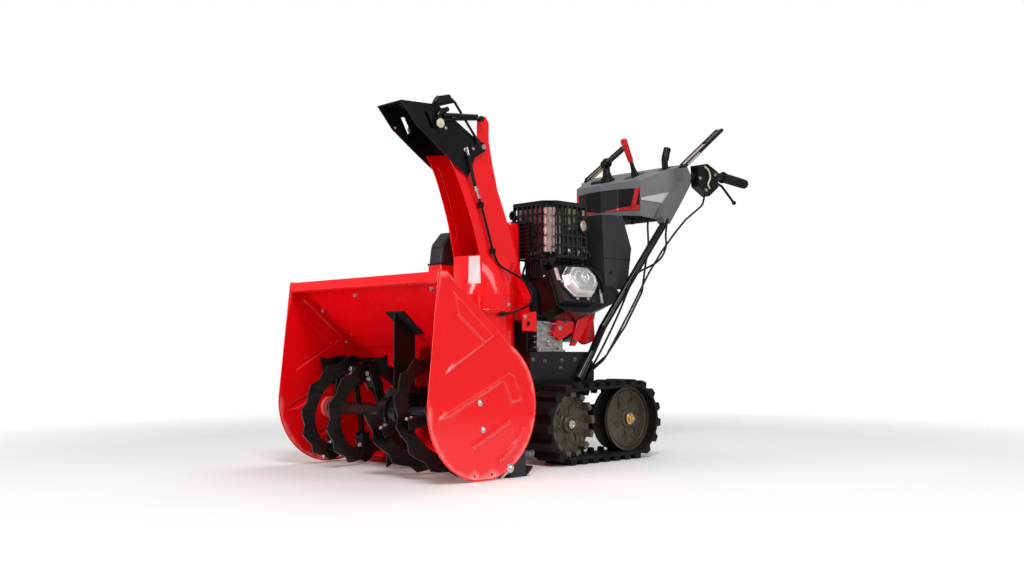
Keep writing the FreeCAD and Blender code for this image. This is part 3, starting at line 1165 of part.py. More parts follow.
def build():
    nodes = {
        "housing_shell": housing_shell(),
        "scraper_bar": scraper(),
        "skid_shoes": pair(skid_shoe()),
        "blower_housing": blower_housing(),
        "gearcase_stay": gearcase_stay(),
        "gearcase": gearcase(),
        "auger_shaft": auger_shaft(),
        "impeller": impeller(),
        "impeller_shaft": impeller_shaft(),
        "chute_channel": chute_channel(),
        "deflector_hood": hood(),
        "deflector_pins": hood_pins(),
        "deflector_arm": deflector_arm(),
        "chute_cable": chute_cable(),
        "chute_drive": chute_drive(),
        "motor_cover": motor_cover(),
        "belt_cover": belt_cover(),
        "frame": frame(),
        "transmission": transmission(),
        "engine_block": engine_block(),
        "rocker_cover": rocker_cover(),
        "lower_shroud": lower_shroud(),
        "muffler": muffler(),
        "muffler_guard": muffler_guard(),
        "fan_shroud": fan_shroud(),
        "recoil_starter": recoil_starter(),
        "intake_cover": intake_cover(),
        "fuel_tank": fuel_tank(),
        "engine_bracket": engine_bracket(),
        "sprockets": pair(sprocket()),
        "idlers": pair(idler()),
        "axles": Part.makeCompound([axle(SPROCKET_Y, SPROCKET_Z, DRIVE_AXLE_R), axle(IDLER_Y, IDLER_Z, IDLER_AXLE_R)]),
        "track_frames": pair(track_frame()),
        "handlebars": pair(handlebar()),
        "grips": pair(grip()),
        "clutch_levers": pair(clutch_lever()),
        "console": console(),
        "control_levers": control_levers(),
        "control_cables": control_cables(),
    }
    for name, side in (("left", 1), ("right", -1)):
        nodes["side_plate_" + name] = side_plate(side)
        nodes["auger_flight_" + name] = auger_flight(side)
        nodes["track_" + name] = track(side)
    return nodes


os.makedirs("parts", exist_ok=True)
for node, shape in build().items():
    shape.translate(V(0, PART_SHIFT_Y, 0))
    if not shape.isValid():
        print("not valid:", node)
    print("%-22s solids %d  volume %.0f  x %.1f %.1f  y %.1f %.1f  z %.1f %.1f" % (
        node, len(shape.Solids), shape.Volume, shape.BoundBox.XMin, shape.BoundBox.XMax, shape.BoundBox.YMin,
        shape.BoundBox.YMax, shape.BoundBox.ZMin, shape.BoundBox.ZMax))
    shape.exportStep("parts/" + node + ".step")
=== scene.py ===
"""Tracked two-stage snow blower: looks, small parts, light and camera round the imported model."""
import json
from collections import Counter
from math import asin, cos, degrees, hypot, pi, radians, sin

import bmesh
import bpy
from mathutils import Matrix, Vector
from mathutils.bvhtree import BVHTree
from mathutils.geometry import delaunay_2d_cdt


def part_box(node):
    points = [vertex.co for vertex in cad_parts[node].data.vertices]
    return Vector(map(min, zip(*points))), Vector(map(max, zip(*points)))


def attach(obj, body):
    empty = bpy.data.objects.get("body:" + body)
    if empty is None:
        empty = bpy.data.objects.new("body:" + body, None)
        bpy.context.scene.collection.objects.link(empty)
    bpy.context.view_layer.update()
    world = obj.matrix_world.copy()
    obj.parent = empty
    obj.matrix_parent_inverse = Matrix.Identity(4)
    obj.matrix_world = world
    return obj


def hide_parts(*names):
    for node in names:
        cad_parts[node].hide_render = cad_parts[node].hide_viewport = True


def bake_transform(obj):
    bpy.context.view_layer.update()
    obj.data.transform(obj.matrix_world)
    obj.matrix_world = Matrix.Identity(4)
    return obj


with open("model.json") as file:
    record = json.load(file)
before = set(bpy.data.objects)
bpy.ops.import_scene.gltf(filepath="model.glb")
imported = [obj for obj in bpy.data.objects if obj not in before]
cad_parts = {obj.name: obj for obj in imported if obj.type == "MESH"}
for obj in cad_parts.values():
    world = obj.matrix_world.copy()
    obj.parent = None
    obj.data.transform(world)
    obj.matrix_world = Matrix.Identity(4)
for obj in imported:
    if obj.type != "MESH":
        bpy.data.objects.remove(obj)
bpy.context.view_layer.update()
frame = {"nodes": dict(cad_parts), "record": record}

NODES = frame["nodes"]
SCENE = bpy.context.scene
SIDES = (("left", 1), ("right", -1))  # the machine's left is +X

# ---- measures taken from the frame ----
PLATE_LOW, PLATE_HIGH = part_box("side_plate_left")
SIDE_R = 194  # round lower part of a side plate
ORIGIN_Y = PLATE_LOW.y + SIDE_R / 1000  # Y of that round part's centre


def at(x, y, z):
    """A point in metres from millimetres, Y counted from the side plates' centre."""
    return Vector((x / 1000, ORIGIN_Y + y / 1000, z / 1000))


def placed(places, side=1):
    """Points in metres from places in millimetres, mirrored where side is -1."""
    return [at(side * x, y, z) for x, y, z in places]


# ---- materials ----
def new_material(name):
    """A node material: its tree, its Principled shader and a coordinate socket."""
    mat = bpy.data.materials.new(name)
    mat.use_nodes = True
    tree = mat.node_tree
    shader = tree.nodes["Principled BSDF"]
    coord = tree.nodes.new("ShaderNodeTexCoord").outputs["Object"]
    return mat, tree, shader, coord


def feed(tree, node, inputs):
    """Sets a node's inputs by name or number: a socket is linked, all else is a plain value."""
    for name, value in inputs.items():
        if isinstance(value, bpy.types.NodeSocket):
            tree.links.new(value, node.inputs[name])
        else:
            node.inputs[name].default_value = value
    return node


def add(tree, kind, inputs):
    return feed(tree, tree.nodes.new("ShaderNode" + kind), inputs)


def noise(tree, coord, scale, detail=4, rough=0.55):
    inputs = {"Vector": coord, "Scale": scale, "Detail": detail, "Roughness": rough}
    return add(tree, "TexNoise", inputs).outputs["Fac"]


def ramp(tree, factor, stops):
    """Colour ramp from two (position, colour) pairs."""
    node = add(tree, "ValToRGB", {"Fac": factor})
    for element, (position, colour) in zip(node.color_ramp.elements, stops):
        element.position = position
        element.color = (*colour, 1)
    return node.outputs["Color"]


def spread(tree, factor, low, high, start=0, end=1):
    """The factor's range from start to end, mapped to low..high."""
    inputs = {"Value": factor, "From Min": start, "From Max": end, "To Min": low, "To Max": high}
    return add(tree, "MapRange", inputs).outputs["Result"]


def bump(tree, shader, height, strength, distance):
    node = add(tree, "Bump", {"Height": height, "Strength": strength, "Distance": distance})
    tree.links.new(node.outputs["Normal"], shader.inputs["Normal"])


def mixed(tree, factor, a, b):
    """Mix of a colour socket and a plain colour."""
    node = add(tree, "Mix", {"Factor": factor})
    node.data_type = "RGBA"
    first, second = [s for s in node.inputs if s.name in ("A", "B") and s.type == "RGBA"]
    tree.links.new(a, first)
    second.default_value = (*b, 1)
    return [s for s in node.outputs if s.type == "RGBA"][0]


WEAR_AND_GLINT_RANGE = (0.52, 0.60)  # from untouched paint to a fully pale edge, for wear and a painted highlight


def wear_and_glint_mask(tree):
    """Mask of sharp convex edges, where the paint is paler: wear, and a painted highlight where an edge would
    catch the light.
    """
    geometry = tree.nodes.new("ShaderNodeNewGeometry")
    return spread(tree, geometry.outputs["Pointiness"], 0, 1, *WEAR_AND_GLINT_RANGE)


def painted(name, colour, dark, coat, rough, wear_and_glint=None, peel=0.05, shine=0.3):
    """Sprayed enamel: slight colour drift, orange peel, clear coat, and a paler colour on sharp edges for
    wear and a painted highlight.
    """
    mat, tree, shader, coord = new_material(name)
    base = ramp(tree, noise(tree, coord, 7, 3), [(0.3, dark), (0.7, colour)])
    if wear_and_glint:
        base = mixed(tree, wear_and_glint_mask(tree), base, wear_and_glint)
    feed(tree, shader, {
        "Base Color": base,
        "Roughness": spread(tree, noise(tree, coord, 38), *rough, 0.35, 0.65),
        "Specular IOR Level": shine,
        "Coat Weight": coat,
        "Coat Roughness": 0.05,
    })
    bump(tree, shader, noise(tree, coord, 620, 2), peel, 0.0004)
    return mat


def plastic(name, colour, dark, rough=(0.38, 0.5), depth=0.12, shine=0.4):
    """Moulded plastic with a fine grain."""
    mat, tree, shader, coord = new_material(name)
    feed(tree, shader, {
        "Base Color": ramp(tree, noise(tree, coord, 11), [(0.3, dark), (0.7, colour)]),
        "Roughness": spread(tree, noise(tree, coord, 55), *rough, 0.35, 0.65),
        "Specular IOR Level": shine,
    })
    bump(tree, shader, noise(tree, coord, 900, 2), depth, 0.0005)
    return mat


def metal(name, colour, dark, rough=(0.22, 0.4), cast=0):
    """Bare metal, rolled or, where cast is above zero, with a coarse skin."""
    mat, tree, shader, coord = new_material(name)
    stain = noise(tree, coord, 60, 5, 0.6)
    feed(tree, shader, {
        "Metallic": 1,
        "Base Color": ramp(tree, stain, [(0.3, dark), (0.68, colour)]),
        "Roughness": spread(tree, stain, *rough, 0.3, 0.7),
    })
    bump(tree, shader, noise(tree, coord, 480 if cast else 900, 3, 0.6), 0.1 + cast, 0.0006)
    return mat


def rubber(name, colour, dust, rough=(0.55, 0.75)):
    """Dark rubber, a little paler where it is scuffed."""
    mat, tree, shader, coord = new_material(name)
    scuff = noise(tree, coord, 24, 6, 0.65)
    feed(tree, shader, {
        "Base Color": ramp(tree, scuff, [(0.42, colour), (0.78, dust)]),
        "Roughness": spread(tree, scuff, *rough, 0.3, 0.7),
        "Specular IOR Level": 0.18,
    })
    bump(tree, shader, noise(tree, coord, 700, 3), 0.2, 0.0006)
    return mat


def faded(mat, axis, low, high, colour, metallic=None):
    """Turns the base colour to another one along an object axis, from low to high in metres."""
    tree = mat.node_tree
    shader = tree.nodes["Principled BSDF"]
    split = add(tree, "SeparateXYZ", {0: tree.nodes["Texture Coordinate"].outputs["Object"]})
    along = split.outputs[axis]
    base = shader.inputs["Base Color"].links[0].from_socket
    share = spread(tree, along, 0, 1, low, high)
    feed(tree, shader, {"Base Color": mixed(tree, share, base, colour)})
    if metallic is not None:
        feed(tree, shader, {"Metallic": spread(tree, along, 1, metallic, low, high)})


RED = (0.95, 0.003, 0.008)
RED_DARK = (0.90, 0.002, 0.006)

FINISHES = (  # how it is made, its name, its colours, and the rest
    (painted, "red_paint", RED, RED_DARK, 0.8, (0.26, 0.34), None, 0.03, 0.12),
    # the pale pink on sharp edges is a painted highlight along the pressed ribs and the plate's rim
    (painted, "red_pressed", RED, RED_DARK, 0.8, (0.26, 0.34), (1, 0.32, 0.30), 0.03, 0.12),
    (painted, "black_steel", (0.0045, 0.004, 0.005), (0.0025, 0.0022, 0.003), 0.35, (0.18, 0.3),
     (0.018, 0.016, 0.017), 0.05, 0.1),
    # its slightly paler sharp edges are a painted highlight
    (painted, "wheel_casting", (0.082, 0.066, 0.048), (0.040, 0.032, 0.023), 0.12, (0.32, 0.5),
     (0.085, 0.068, 0.050)),
    (rubber, "track_rubber", (0.004, 0.004, 0.004), (0.016, 0.015, 0.015)),
    (rubber, "grip_rubber", (0.010, 0.010, 0.010), (0.022, 0.022, 0.022)),
    (metal, "zinc_steel", (0.72, 0.70, 0.67), (0.50, 0.48, 0.46)),
    (metal, "dim_steel", (0.20, 0.19, 0.18), (0.12, 0.115, 0.11), (0.3, 0.45)),
    (metal, "yellow_zinc", (0.80, 0.58, 0.26), (0.55, 0.38, 0.16)),
    (metal, "engine_casting", (0.66, 0.65, 0.63), (0.38, 0.37, 0.36), (0.3, 0.5), 0.35),
    (metal, "polished_cover", (0.86, 0.84, 0.81), (0.74, 0.72, 0.70), (0.34, 0.46)),
    (metal, "muffler_steel", (0.80, 0.58, 0.54), (0.52, 0.35, 0.32), (0.32, 0.5)),
    (metal, "beige_outlet", (0.74, 0.66, 0.52), (0.50, 0.44, 0.34), (0.34, 0.5)),
    # painted shade: this yellow-olive metal colour stands in for the right-hand lever's shaded, blurred look;
    # it is the same part as the left lever, whose face is lever_grey
    (metal, "brass_lever", (0.62, 0.56, 0.34), (0.42, 0.37, 0.22), (0.28, 0.42)),
    (plastic, "shroud_plastic", (0.007, 0.0065, 0.0075), (0.004, 0.004, 0.0045), (0.14, 0.26), 0.05, 0.3),
    (plastic, "black_plastic", (0.006, 0.006, 0.007), (0.004, 0.004, 0.0045), (0.26, 0.4), 0.08, 0.2),
    (plastic, "panel_black", (0.006, 0.006, 0.007), (0.004, 0.004, 0.005), (0.3, 0.4), 0.02, 0.2),
    (plastic, "dark_plastic", (0.034, 0.034, 0.036), (0.022, 0.022, 0.024), (0.36, 0.5)),
    (plastic, "grey_plastic", (0.165, 0.160, 0.163), (0.135, 0.131, 0.134)),
    (plastic, "facet_grey", (0.52, 0.50, 0.50), (0.44, 0.43, 0.43), (0.3, 0.42)),
    (plastic, "lever_grey", (0.46, 0.40, 0.385), (0.36, 0.31, 0.30), (0.3, 0.42)),
    (plastic, "lever_red", (0.70, 0.010, 0.012), (0.60, 0.008, 0.010), (0.24, 0.34)),
    (plastic, "panel_red", (0.62, 0.006, 0.010), (0.52, 0.005, 0.008), (0.2, 0.3), 0.02),
    (plastic, "cream_nylon", (0.72, 0.66, 0.48), (0.62, 0.56, 0.40), (0.3, 0.4)),
    (plastic, "blank_plate", (0.80, 0.78, 0.77), (0.74, 0.72, 0.71), (0.3, 0.4), 0.02),
)
MATERIALS = {name: make(name, *rest) for make, name, *rest in FINISHES}
faded(MATERIALS["engine_casting"], "Z", 0.440, 0.446, (0.010, 0.009, 0.010), 0)
faded(MATERIALS["muffler_steel"], "Y", ORIGIN_Y + 0.488, ORIGIN_Y + 0.512, (0.10, 0.085, 0.08))


def dress_nodes():
    """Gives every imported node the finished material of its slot."""
    slots = {row["node"]: row["material_slot"] for row in frame["record"]["subparts"]}
    for name, node in NODES.items():
        if node.type != "MESH":
            continue
        mat = MATERIALS[slots[name]]
        for slot in node.material_slots:
            slot.material = mat
        if not node.material_slots:
            node.data.materials.append(mat)


# ---- shapes, built in a bmesh ----
def full_turn(count):
    """Angles round a full turn in equal steps."""
    return [2 * pi * n / count for n in range(count)]


def circle(centre, side, across, radius, sides):
    """Ring of points round a centre in metres; radius in millimetres."""
    return [centre + (side * cos(t) + across * sin(t)) * radius / 1000 for t in full_turn(sides)]


def add_rings(bm, rings):
    """Closed skin over rings of points, each with the same count."""
    loops = [[bm.verts.new(point) for point in ring] for ring in rings]
    for low, high in zip(loops, loops[1:]):
        for i, corner in enumerate(low):
            j = (i + 1) % len(low)
            bm.faces.new((corner, low[j], high[j], high[i]))
    bm.faces.new(reversed(loops[0]))
    bm.faces.new(loops[-1])


def turned(bm, start, direction, profile, sides=24):
    """Solid of revolution: profile holds (along, radius) in millimetres."""
    axis = Vector(direction).normalized()
    side = axis.orthogonal().normalized()
    across = axis.cross(side)
    add_rings(bm, [circle(start + axis * along / 1000, side, across, radius, sides)
                   for along, radius in profile])


def bolt(bm, place, direction, radius, washer=1.9):
    """Hex head on a washer. Radius is that of the head's corners, washer the disc's as a multiple of it."""
    thick = 0.22 * radius
    disc = washer * radius
    turned(bm, place, direction, [(-1, disc), (thick, disc), (thick + 0.3, disc - 0.6)])
    head = [(thick, radius), (thick + 0.62 * radius, radius), (thick + 0.78 * radius, 0.84 * radius)]
    turned(bm, place, direction, head, 6)


def bolts(bm, places, direction, radius, washer, place=at):
    """Bolts of one size and direction; place turns millimetres into a point."""
    for spot in places:
        bolt(bm, place(*spot), direction, radius, washer)


def side_bolts(bm, x, places, way, radius, washer):
    """Bolts at (Y, Z) places on a face square to X."""
    bolts(bm, [(x, y, z) for y, z in places], (way, 0, 0), radius, washer)


def ball(radius, steps):
    """Profile of a ball, for turned()."""
    angles = [pi * n / steps for n in range(steps + 1)]
    return [(-radius * cos(t), max(0.05, radius * sin(t))) for t in angles]


def smooth_line(points, steps=6):
    """Catmull-Rom line through the points."""
    points = [Vector(p) for p in points]
    ends = [points[0] * 2 - points[1]] + points + [points[-1] * 2 - points[-2]]
    line = []
    for a, b, c, d in zip(ends, ends[1:], ends[2:], ends[3:]):
        for n in range(steps):
            t = n / steps
            line.append(0.5 * (2 * b + (c - a) * t + (2 * a - 5 * b + 4 * c - d) * t * t
                               + (3 * b - a - 3 * c + d) * t * t * t))
    return line + [points[-1]]


def tube(bm, line, radius, sides=10):
    """Round tube along points in metres; its radius in millimetres is one number, or one a point."""
    radii = radius if isinstance(radius, list) else [radius] * len(line)
    side = (line[1] - line[0]).orthogonal().normalized()
    rings = []
    for i, point in enumerate(line):
        ahead = line[min(i + 1, len(line) - 1)] - line[max(i - 1, 0)]
        axis = ahead.normalized()
        side = (side - axis * side.dot(axis)).normalized()
        rings.append(circle(point, side, axis.cross(side), radii[i], sides))
    add_rings(bm, rings)


def prism(bm, outline, low, high, place=at):
    """Plate from a (Y, Z) outline between two X, all in millimetres."""
    add_rings(bm, [[place(x, y, z) for y, z in outline] for x in (low, high)])


def block(bm, low, high, place=at):
    (x0, y0, z0), (x1, y1, z1) = low, high
    prism(bm, [(y0, z0), (y1, z0), (y1, z1), (y0, z1)], x0, x1, place)


def shell(bm, outer, inner, faces):
    """Closed sheet: faces on both layers of corners, and a rim along the edges that one face has."""
    for face in faces:
        bm.faces.new([outer[i] for i in face])
        bm.faces.new([inner[i] for i in reversed(face)])
    edges = Counter(tuple(sorted(edge)) for face in faces for edge in zip(face, face[1:] + face[:1]))
    for (a, b), count in edges.items():
        if count == 1:
            bm.faces.new((outer[a], outer[b], inner[b], inner[a]))


def surface(node):
    """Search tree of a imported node's faces."""
    mesh = NODES[node].data
    corners = [v.co.copy() for v in mesh.vertices]
    return BVHTree.FromPolygons(corners, [tuple(p.vertices) for p in mesh.polygons])


def draped(skin, corners, across, down, thick):
    """Thin plate laid on a surface seen from the front; corners are (X, Z) in millimetres."""
    bm = bmesh.new()
    a, b, c, d = (Vector(corner) for corner in corners)
    outer, inner, faces = [], [], []
    for i in range(across + 1):
        top, foot = a.lerp(b, i / across), d.lerp(c, i / across)
        for j in range(down + 1):
            x, z = top.lerp(foot, j / down)
            hit = skin.ray_cast(at(x, -100, z), Vector((0, 1, 0)))[0]
            outer.append(bm.verts.new(hit + Vector((0, -thick / 1000, 0))))
            inner.append(bm.verts.new(hit))
            if i < across and j < down:
                n = i * (down + 1) + j
                faces.append((n, n + down + 1, n + down + 2, n + 1))
    shell(bm, outer, inner, faces)
    return bm


def piece(name, bm, slot, material=None, body="machine", smooth=30, bevel=0, segments=2):
    """Turns the bmesh into a finished object riding on a body, or on none."""
    bmesh.ops.recalc_face_normals(bm, faces=bm.faces)
    mesh = bpy.data.meshes.new(name)
    bm.to_mesh(mesh)
    bm.free()
    mesh.polygons.foreach_set("use_smooth", [True] * len(mesh.polygons))
    mesh.set_sharp_from_angle(angle=radians(smooth))
    obj = bpy.data.objects.new(name, mesh)
    SCENE.collection.objects.link(obj)
    mesh.materials.append(MATERIALS[material or slot])
    if bevel:
        rounded(obj, bevel, segments, smooth)
    if body:
        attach(obj, body)
    return obj


def rounded(obj, width, segments, angle):
    """Bevel modifier, width in millimetres, on edges sharper than an angle in degrees."""
    edge = obj.modifiers.new("edge", "BEVEL")
    edge.width = width / 1000
    edge.segments = segments
    edge.limit_method = "ANGLE"
    edge.angle_limit = radians(angle)
    edge.harden_normals = False


# ---- housing ----
CAD_RIB = 3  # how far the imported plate's own ribs stand out
PLATE_X = 1000 * PLATE_HIGH.x - CAD_RIB  # outer face of a side plate, without its pressings
SHEET = 3
SIDE_MIDDLE = (0, SIDE_R + 2)
SIDE_TOP = (556, -158, -132)  # height, front and rear of a side plate's top edge
SIDE_FRONT_ANGLE = 176
SIDE_REAR_ANGLE = 62
SIDE_FLAT_Z = 4
PRESS_RISE = 5
PRESS_SOFT = 2.6
GRID_FINE = 2.2
GRID_COARSE = 6  # in steps of the fine grid
UPPER_RIB = ((-114, 507), (32, 388), (-137, 288), (-111, 314), (-1, 369), (-95, 442))
LOWER_RIB = ((-160, 170), (-137, 189), (87, 289), (108, 281), (138, 214), (98, 203),
             (68, 264), (-132, 172))
BAR_RIB = ((-46, 96), (-42, 84), (94, 149), (90, 161))
ARC_RIB = (161, 149, -70, -22)  # outer and inner radius, first and last angle
SHOE_HOLES = ((-33, 16), (29, 16))
SHOE_HOLE_R = 4.5
AUGER = (-10, 170)  # Y, Z of its axis
BOSS_R = 34  # bearing boss inside a side plate
ROOF_FOLD = ((-160.5, 555.5), (-157, 555.5), (-157, 533), (-150, 526.5), (-152, 524),
             (-160.5, 531))
INTO_ROOF = (0, -0.65, -0.76)  # away from the sloping roof, into the housing


def arc(centre, radius, start, end, step=4):
    """(Y, Z) points on an arc, angles in degrees."""
    count = max(2, int(abs(end - start) / step))
    turns = [radians(start + (end - start) * i / count) for i in range(count + 1)]
    return [(centre[0] + radius * cos(t), centre[1] + radius * sin(t)) for t in turns]


def plate_outline():
    """Side plate: round below, upright front edge, sloping rear edge."""
    flat = degrees(asin((SIDE_MIDDLE[1] - SIDE_FLAT_Z) / SIDE_R))
    top, front, rear = SIDE_TOP
    back = arc(SIDE_MIDDLE, SIDE_R, SIDE_REAR_ANGLE, -flat)
    return [(front, top), (rear, top)] + back + arc(SIDE_MIDDLE, SIDE_R, flat - 180, SIDE_FRONT_ANGLE - 360)


def depth_in(point, outline):
    """Signed distance of a point from a closed outline, positive inside."""
    inside, nearest = False, 1e9
    px, py = point
    for (ax, ay), (bx, by) in zip(outline, outline[1:] + outline[:1]):
        run, rise = bx - ax, by - ay
        share = max(0, min(1, ((px - ax) * run + (py - ay) * rise) / (run * run + rise * rise)))
        nearest = min(nearest, hypot(px - ax - share * run, py - ay - share * rise))
        if (ay > py) != (by > py) and px < ax + run * (py - ay) / rise:
            inside = not inside
    return nearest if inside else -nearest


def boxed(outlines, margin):
    """Each outline with its box, grown by a margin."""
    rows = []
    for outline in outlines:
        ys, zs = zip(*outline)
        rows.append((min(ys) - margin, max(ys) + margin, min(zs) - margin, max(zs) + margin, list(outline)))
    return rows


def depths(y, z, rows):
    """Depth of a point in each outline whose box holds it."""
    return [depth_in((y, z), outline) for y0, y1, z0, z1, outline in rows if y0 < y < y1 and z0 < z < z1]


def pressed(outlines):
    """Height of a sheet pressed up inside the outlines, with soft edges."""
    rows = boxed(outlines, PRESS_SOFT)

    def height(y, z):
        shares = [0.5 + depth / (2 * PRESS_SOFT) for depth in depths(y, z, rows)]
        share = max(0, min(1, max(shares, default=0)))
        return PRESS_RISE * share * share * (3 - 2 * share)
    return height


def sheet_faces(outline, holes, pressings):
    """Points and triangles of a flat sheet with round holes, fine along the pressings' edges."""
    points, edges = [], []
    for ring in [outline] + [arc(hole, SHOE_HOLE_R, 0, 330, 30) for hole in holes]:
        start = len(points)
        points += ring
        edges += [(start + i, start + (i + 1) % len(ring)) for i in range(len(ring))]
    reach = PRESS_SOFT + GRID_FINE
    rows = boxed(pressings, reach)
    (y0, y1, z0, z1, _), = boxed([outline], 0)
    for row in range(1, int((z1 - z0) / GRID_FINE)):
        z = z0 + row * GRID_FINE
        for column in range(int((y1 - y0) / GRID_FINE)):
            y = y0 + (column + 0.5 * (row % 2)) * GRID_FINE
            between = row % GRID_COARSE or column % GRID_COARSE
            if between and not any(abs(depth) < reach for depth in depths(y, z, rows)):
                continue
            clear = depth_in((y, z), outline) > 0.45 * GRID_FINE
            if clear and all(hypot(y - a, z - b) > SHOE_HOLE_R + 0.5 * GRID_FINE for a, b in holes):
                points.append((y, z))
    made = delaunay_2d_cdt([Vector(p) for p in points], edges, [], 1, 1e-4)
    triangles = []
    for face in made[2]:
        middle = sum((made[0][i] for i in face), Vector((0, 0))) / len(face)
        if all(hypot(middle.x - a, middle.y - b) > SHOE_HOLE_R * 0.97 for a, b in holes):
            triangles.append(face)
    return made[0], triangles


def side_plates():
    """Both side plates as pressed sheets, with the bearing boss inside."""
    outer, inner, first, last = ARC_RIB
    arc_rib = arc(SIDE_MIDDLE, outer, first, last) + arc(SIDE_MIDDLE, inner, last, first)
    pressings = (UPPER_RIB, LOWER_RIB, BAR_RIB, arc_rib)
    height = pressed(pressings)
    points, triangles = sheet_faces(plate_outline(), SHOE_HOLES, pressings)
    boss = [(0, BOSS_R), (7, BOSS_R), (9, BOSS_R - 2)]
    for name, side in SIDES:
        bm = bmesh.new()
        layers = []
        for face_x in (PLATE_X, PLATE_X - SHEET):
            layers.append([bm.verts.new(at(side * (face_x + height(y, z)), y, z)) for y, z in points])
        shell(bm, *layers, triangles)
        turned(bm, at(side * (PLATE_X - SHEET + 1), *AUGER), (-side, 0, 0), boss, 40)
        # this finish paints a pale highlight along the sharp rib edges
        plate = piece("pressed_plate_" + name, bm, "red_paint", "red_pressed", smooth=40)
        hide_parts("side_plate_" + name)


def plate_hems():
    """Rounded edge along each side plate."""
    for name, side in SIDES:
        edge = [at(side * (PLATE_X - SHEET / 2), y, z) for y, z in plate_outline()]
        bm = bmesh.new()
        tube(bm, edge + edge[:1], 2.3, 10)
        piece("plate_hem_" + name, bm, "red_paint", smooth=60)


def housing_trim():
    """Folded front edge of the roof, and the bolts through the side plates and the roof."""
    bm = bmesh.new()
    inner = PLATE_X - SHEET - 0.2
    prism(bm, ROOF_FOLD, -inner, inner)
    piece("roof_fold", bm, "red_paint", smooth=35, bevel=1.6, segments=3)
    bm = bmesh.new()
    for _, side in SIDES:
        side_bolts(bm, side * PLATE_X, ((96, 28),), side, 6.5, 2)
        side_bolts(bm, side * PLATE_X, ((-15, 209), (-4, 137)), side, 5, 1.7)
        side_bolts(bm, side * (PLATE_X - SHEET), ((-40, 472), (52, 375)), -side, 5, 1.5)
    bolts(bm, ((-118, -86, 511), (247, -91, 515.5)), INTO_ROOF, 5, 1.5)
    bolts(bm, ((122.3, 315, 488),), (0.99, 0.11, 0), 5, 1.4)
    piece("housing_bolts", bm, "zinc_steel")
    bm = bmesh.new()
    bolts(bm, ((-30, 8, 432), (30, 8, 432)), INTO_ROOF, 5.5, 1.5)
    piece("stay_bolts", bm, "black_steel")


# ---- auger ----
FLIGHT = (56, 337)  # from the gear case to the side plate
FLIGHT_TURN = 1.05
FLIGHT_SHARES = (0.06, 0.5, 0.94)  # where its arms stand along a ribbon
FLIGHT_MID_R = 134
ARM_SHIFT = 2.5  # an arm's centre beyond its place on the ribbon
BLOCK_HALF = 13  # half a clamp block, across the arm
COLLAR_X = 47
COLLAR = ((0, 25), (2, 26), (16, 26), (18, 25))


def arms(side):
    """Each arm on one side's two ribbons: its angle, and a frame that turns millimetres into a point."""
    frames = []
    for start in (0, pi):
        phase = start + (0 if side > 0 else pi / 2)
        for share in FLIGHT_SHARES:
            x = side * (FLIGHT[0] + (FLIGHT[1] - FLIGHT[0]) * share + ARM_SHIFT)
            angle = phase + 2 * pi * FLIGHT_TURN * share

            def on_arm(along, out, across, x=x, angle=angle):
                y = AUGER[0] + out * cos(angle) - across * sin(angle)
                return at(x + along, y, AUGER[1] + out * sin(angle) + across * cos(angle))
            frames.append((angle, on_arm))
    return frames


def clamp_bolts(name, side):
    """Two bolts through every clamp block, with a head at each end."""
    bm = bmesh.new()
    for angle, on_arm in arms(side):
        for out in (FLIGHT_MID_R - 8, FLIGHT_MID_R - 24):
            for way in (1, -1):
                across = (0, -sin(angle) * way, cos(angle) * way)
                bolt(bm, on_arm(0, out, BLOCK_HALF * way), across, 5.5, 1.4)
    piece("clamp_bolts_" + name, bm, "zinc_steel", body="auger")


def arm_brackets(name, side):
    """A bracket's two cheeks round every clamp block, and a rib along the arm."""
    bm = bmesh.new()
    for _, on_arm in arms(side):
        for low in (-17.5, 14.5):
            block(bm, (low, FLIGHT_MID_R - 62, -15), (low + 3, FLIGHT_MID_R + 2, 15), on_arm)
        block(bm, (-3, 22, 3), (3, FLIGHT_MID_R - 34, 9), on_arm)
    piece("arm_brackets_" + name, bm, "black_steel", body="auger", bevel=1.2)


def shear_collar(name, side):
    """Collar with a shear bolt on the auger's tube."""
    bm = bmesh.new()
    turned(bm, at(side * COLLAR_X, *AUGER), (side, 0, 0), COLLAR, 32)
    for way in (-1, 1):
        bolt(bm, at(side * (COLLAR_X + 9), AUGER[0] + 25.5 * way, AUGER[1]), (0, way, 0), 5.5, 1.2)
    piece("shear_collar_" + name, bm, "black_steel", body="auger")


# ---- chute and deflector ----
CHUTE_X = 25
CHUTE_Y = 305
SKIRT_R = 98
SKIRT_BEAD_Z = 471
CHANNEL_Z = (915, 640)  # where its taper starts and ends
CHANNEL_HALF = (48, 62)  # half its width at those heights
CHANNEL_FRONT = ((229, 640), (205, 730), (180, 798), (148, 872), (122, 918))
BEAD_BACK = 27  # bead behind the channel's front edge
BEAD_FOOT = (61, 268, 622)  # its lower end, X from the chute's centre
CHUTE_WALL = 2.5
CHUTE_PLATE = ((37, 636), (86, 636), (88, 552), (50, 552))
HOOD_X = 81.2  # outer face of the hood's left cheek
HOOD_FAR_X = 2 * CHUTE_X - HOOD_X  # outer face of its right cheek
HOOD_EDGE = ((-73, 1068), (-19, 1007), (37, 969), (79, 941), (185, 874))
HOOD_WASHER = ((0, 5.5), (12, 5.5), (12, 14), (15, 14), (15.8, 12.6), (15.8, 5), (17.5, 4.6))
ARM_X = HOOD_X + 8  # centre line of the hood's arm
ARM_HEAD = ((44, 1078), (52, 1074), (96, 1092), (106, 1104), (98, 1110), (56, 1098))
CABLE_TOP = (90.5, 200, 856)  # the deflector cable's run down the chute's wall
CABLE_CLIP = (90.5, 229.5, 791)
SLEEVE_LOW = (90.5, 204, 847)
SLEEVE_HIGH = (89.5, 178, 938)


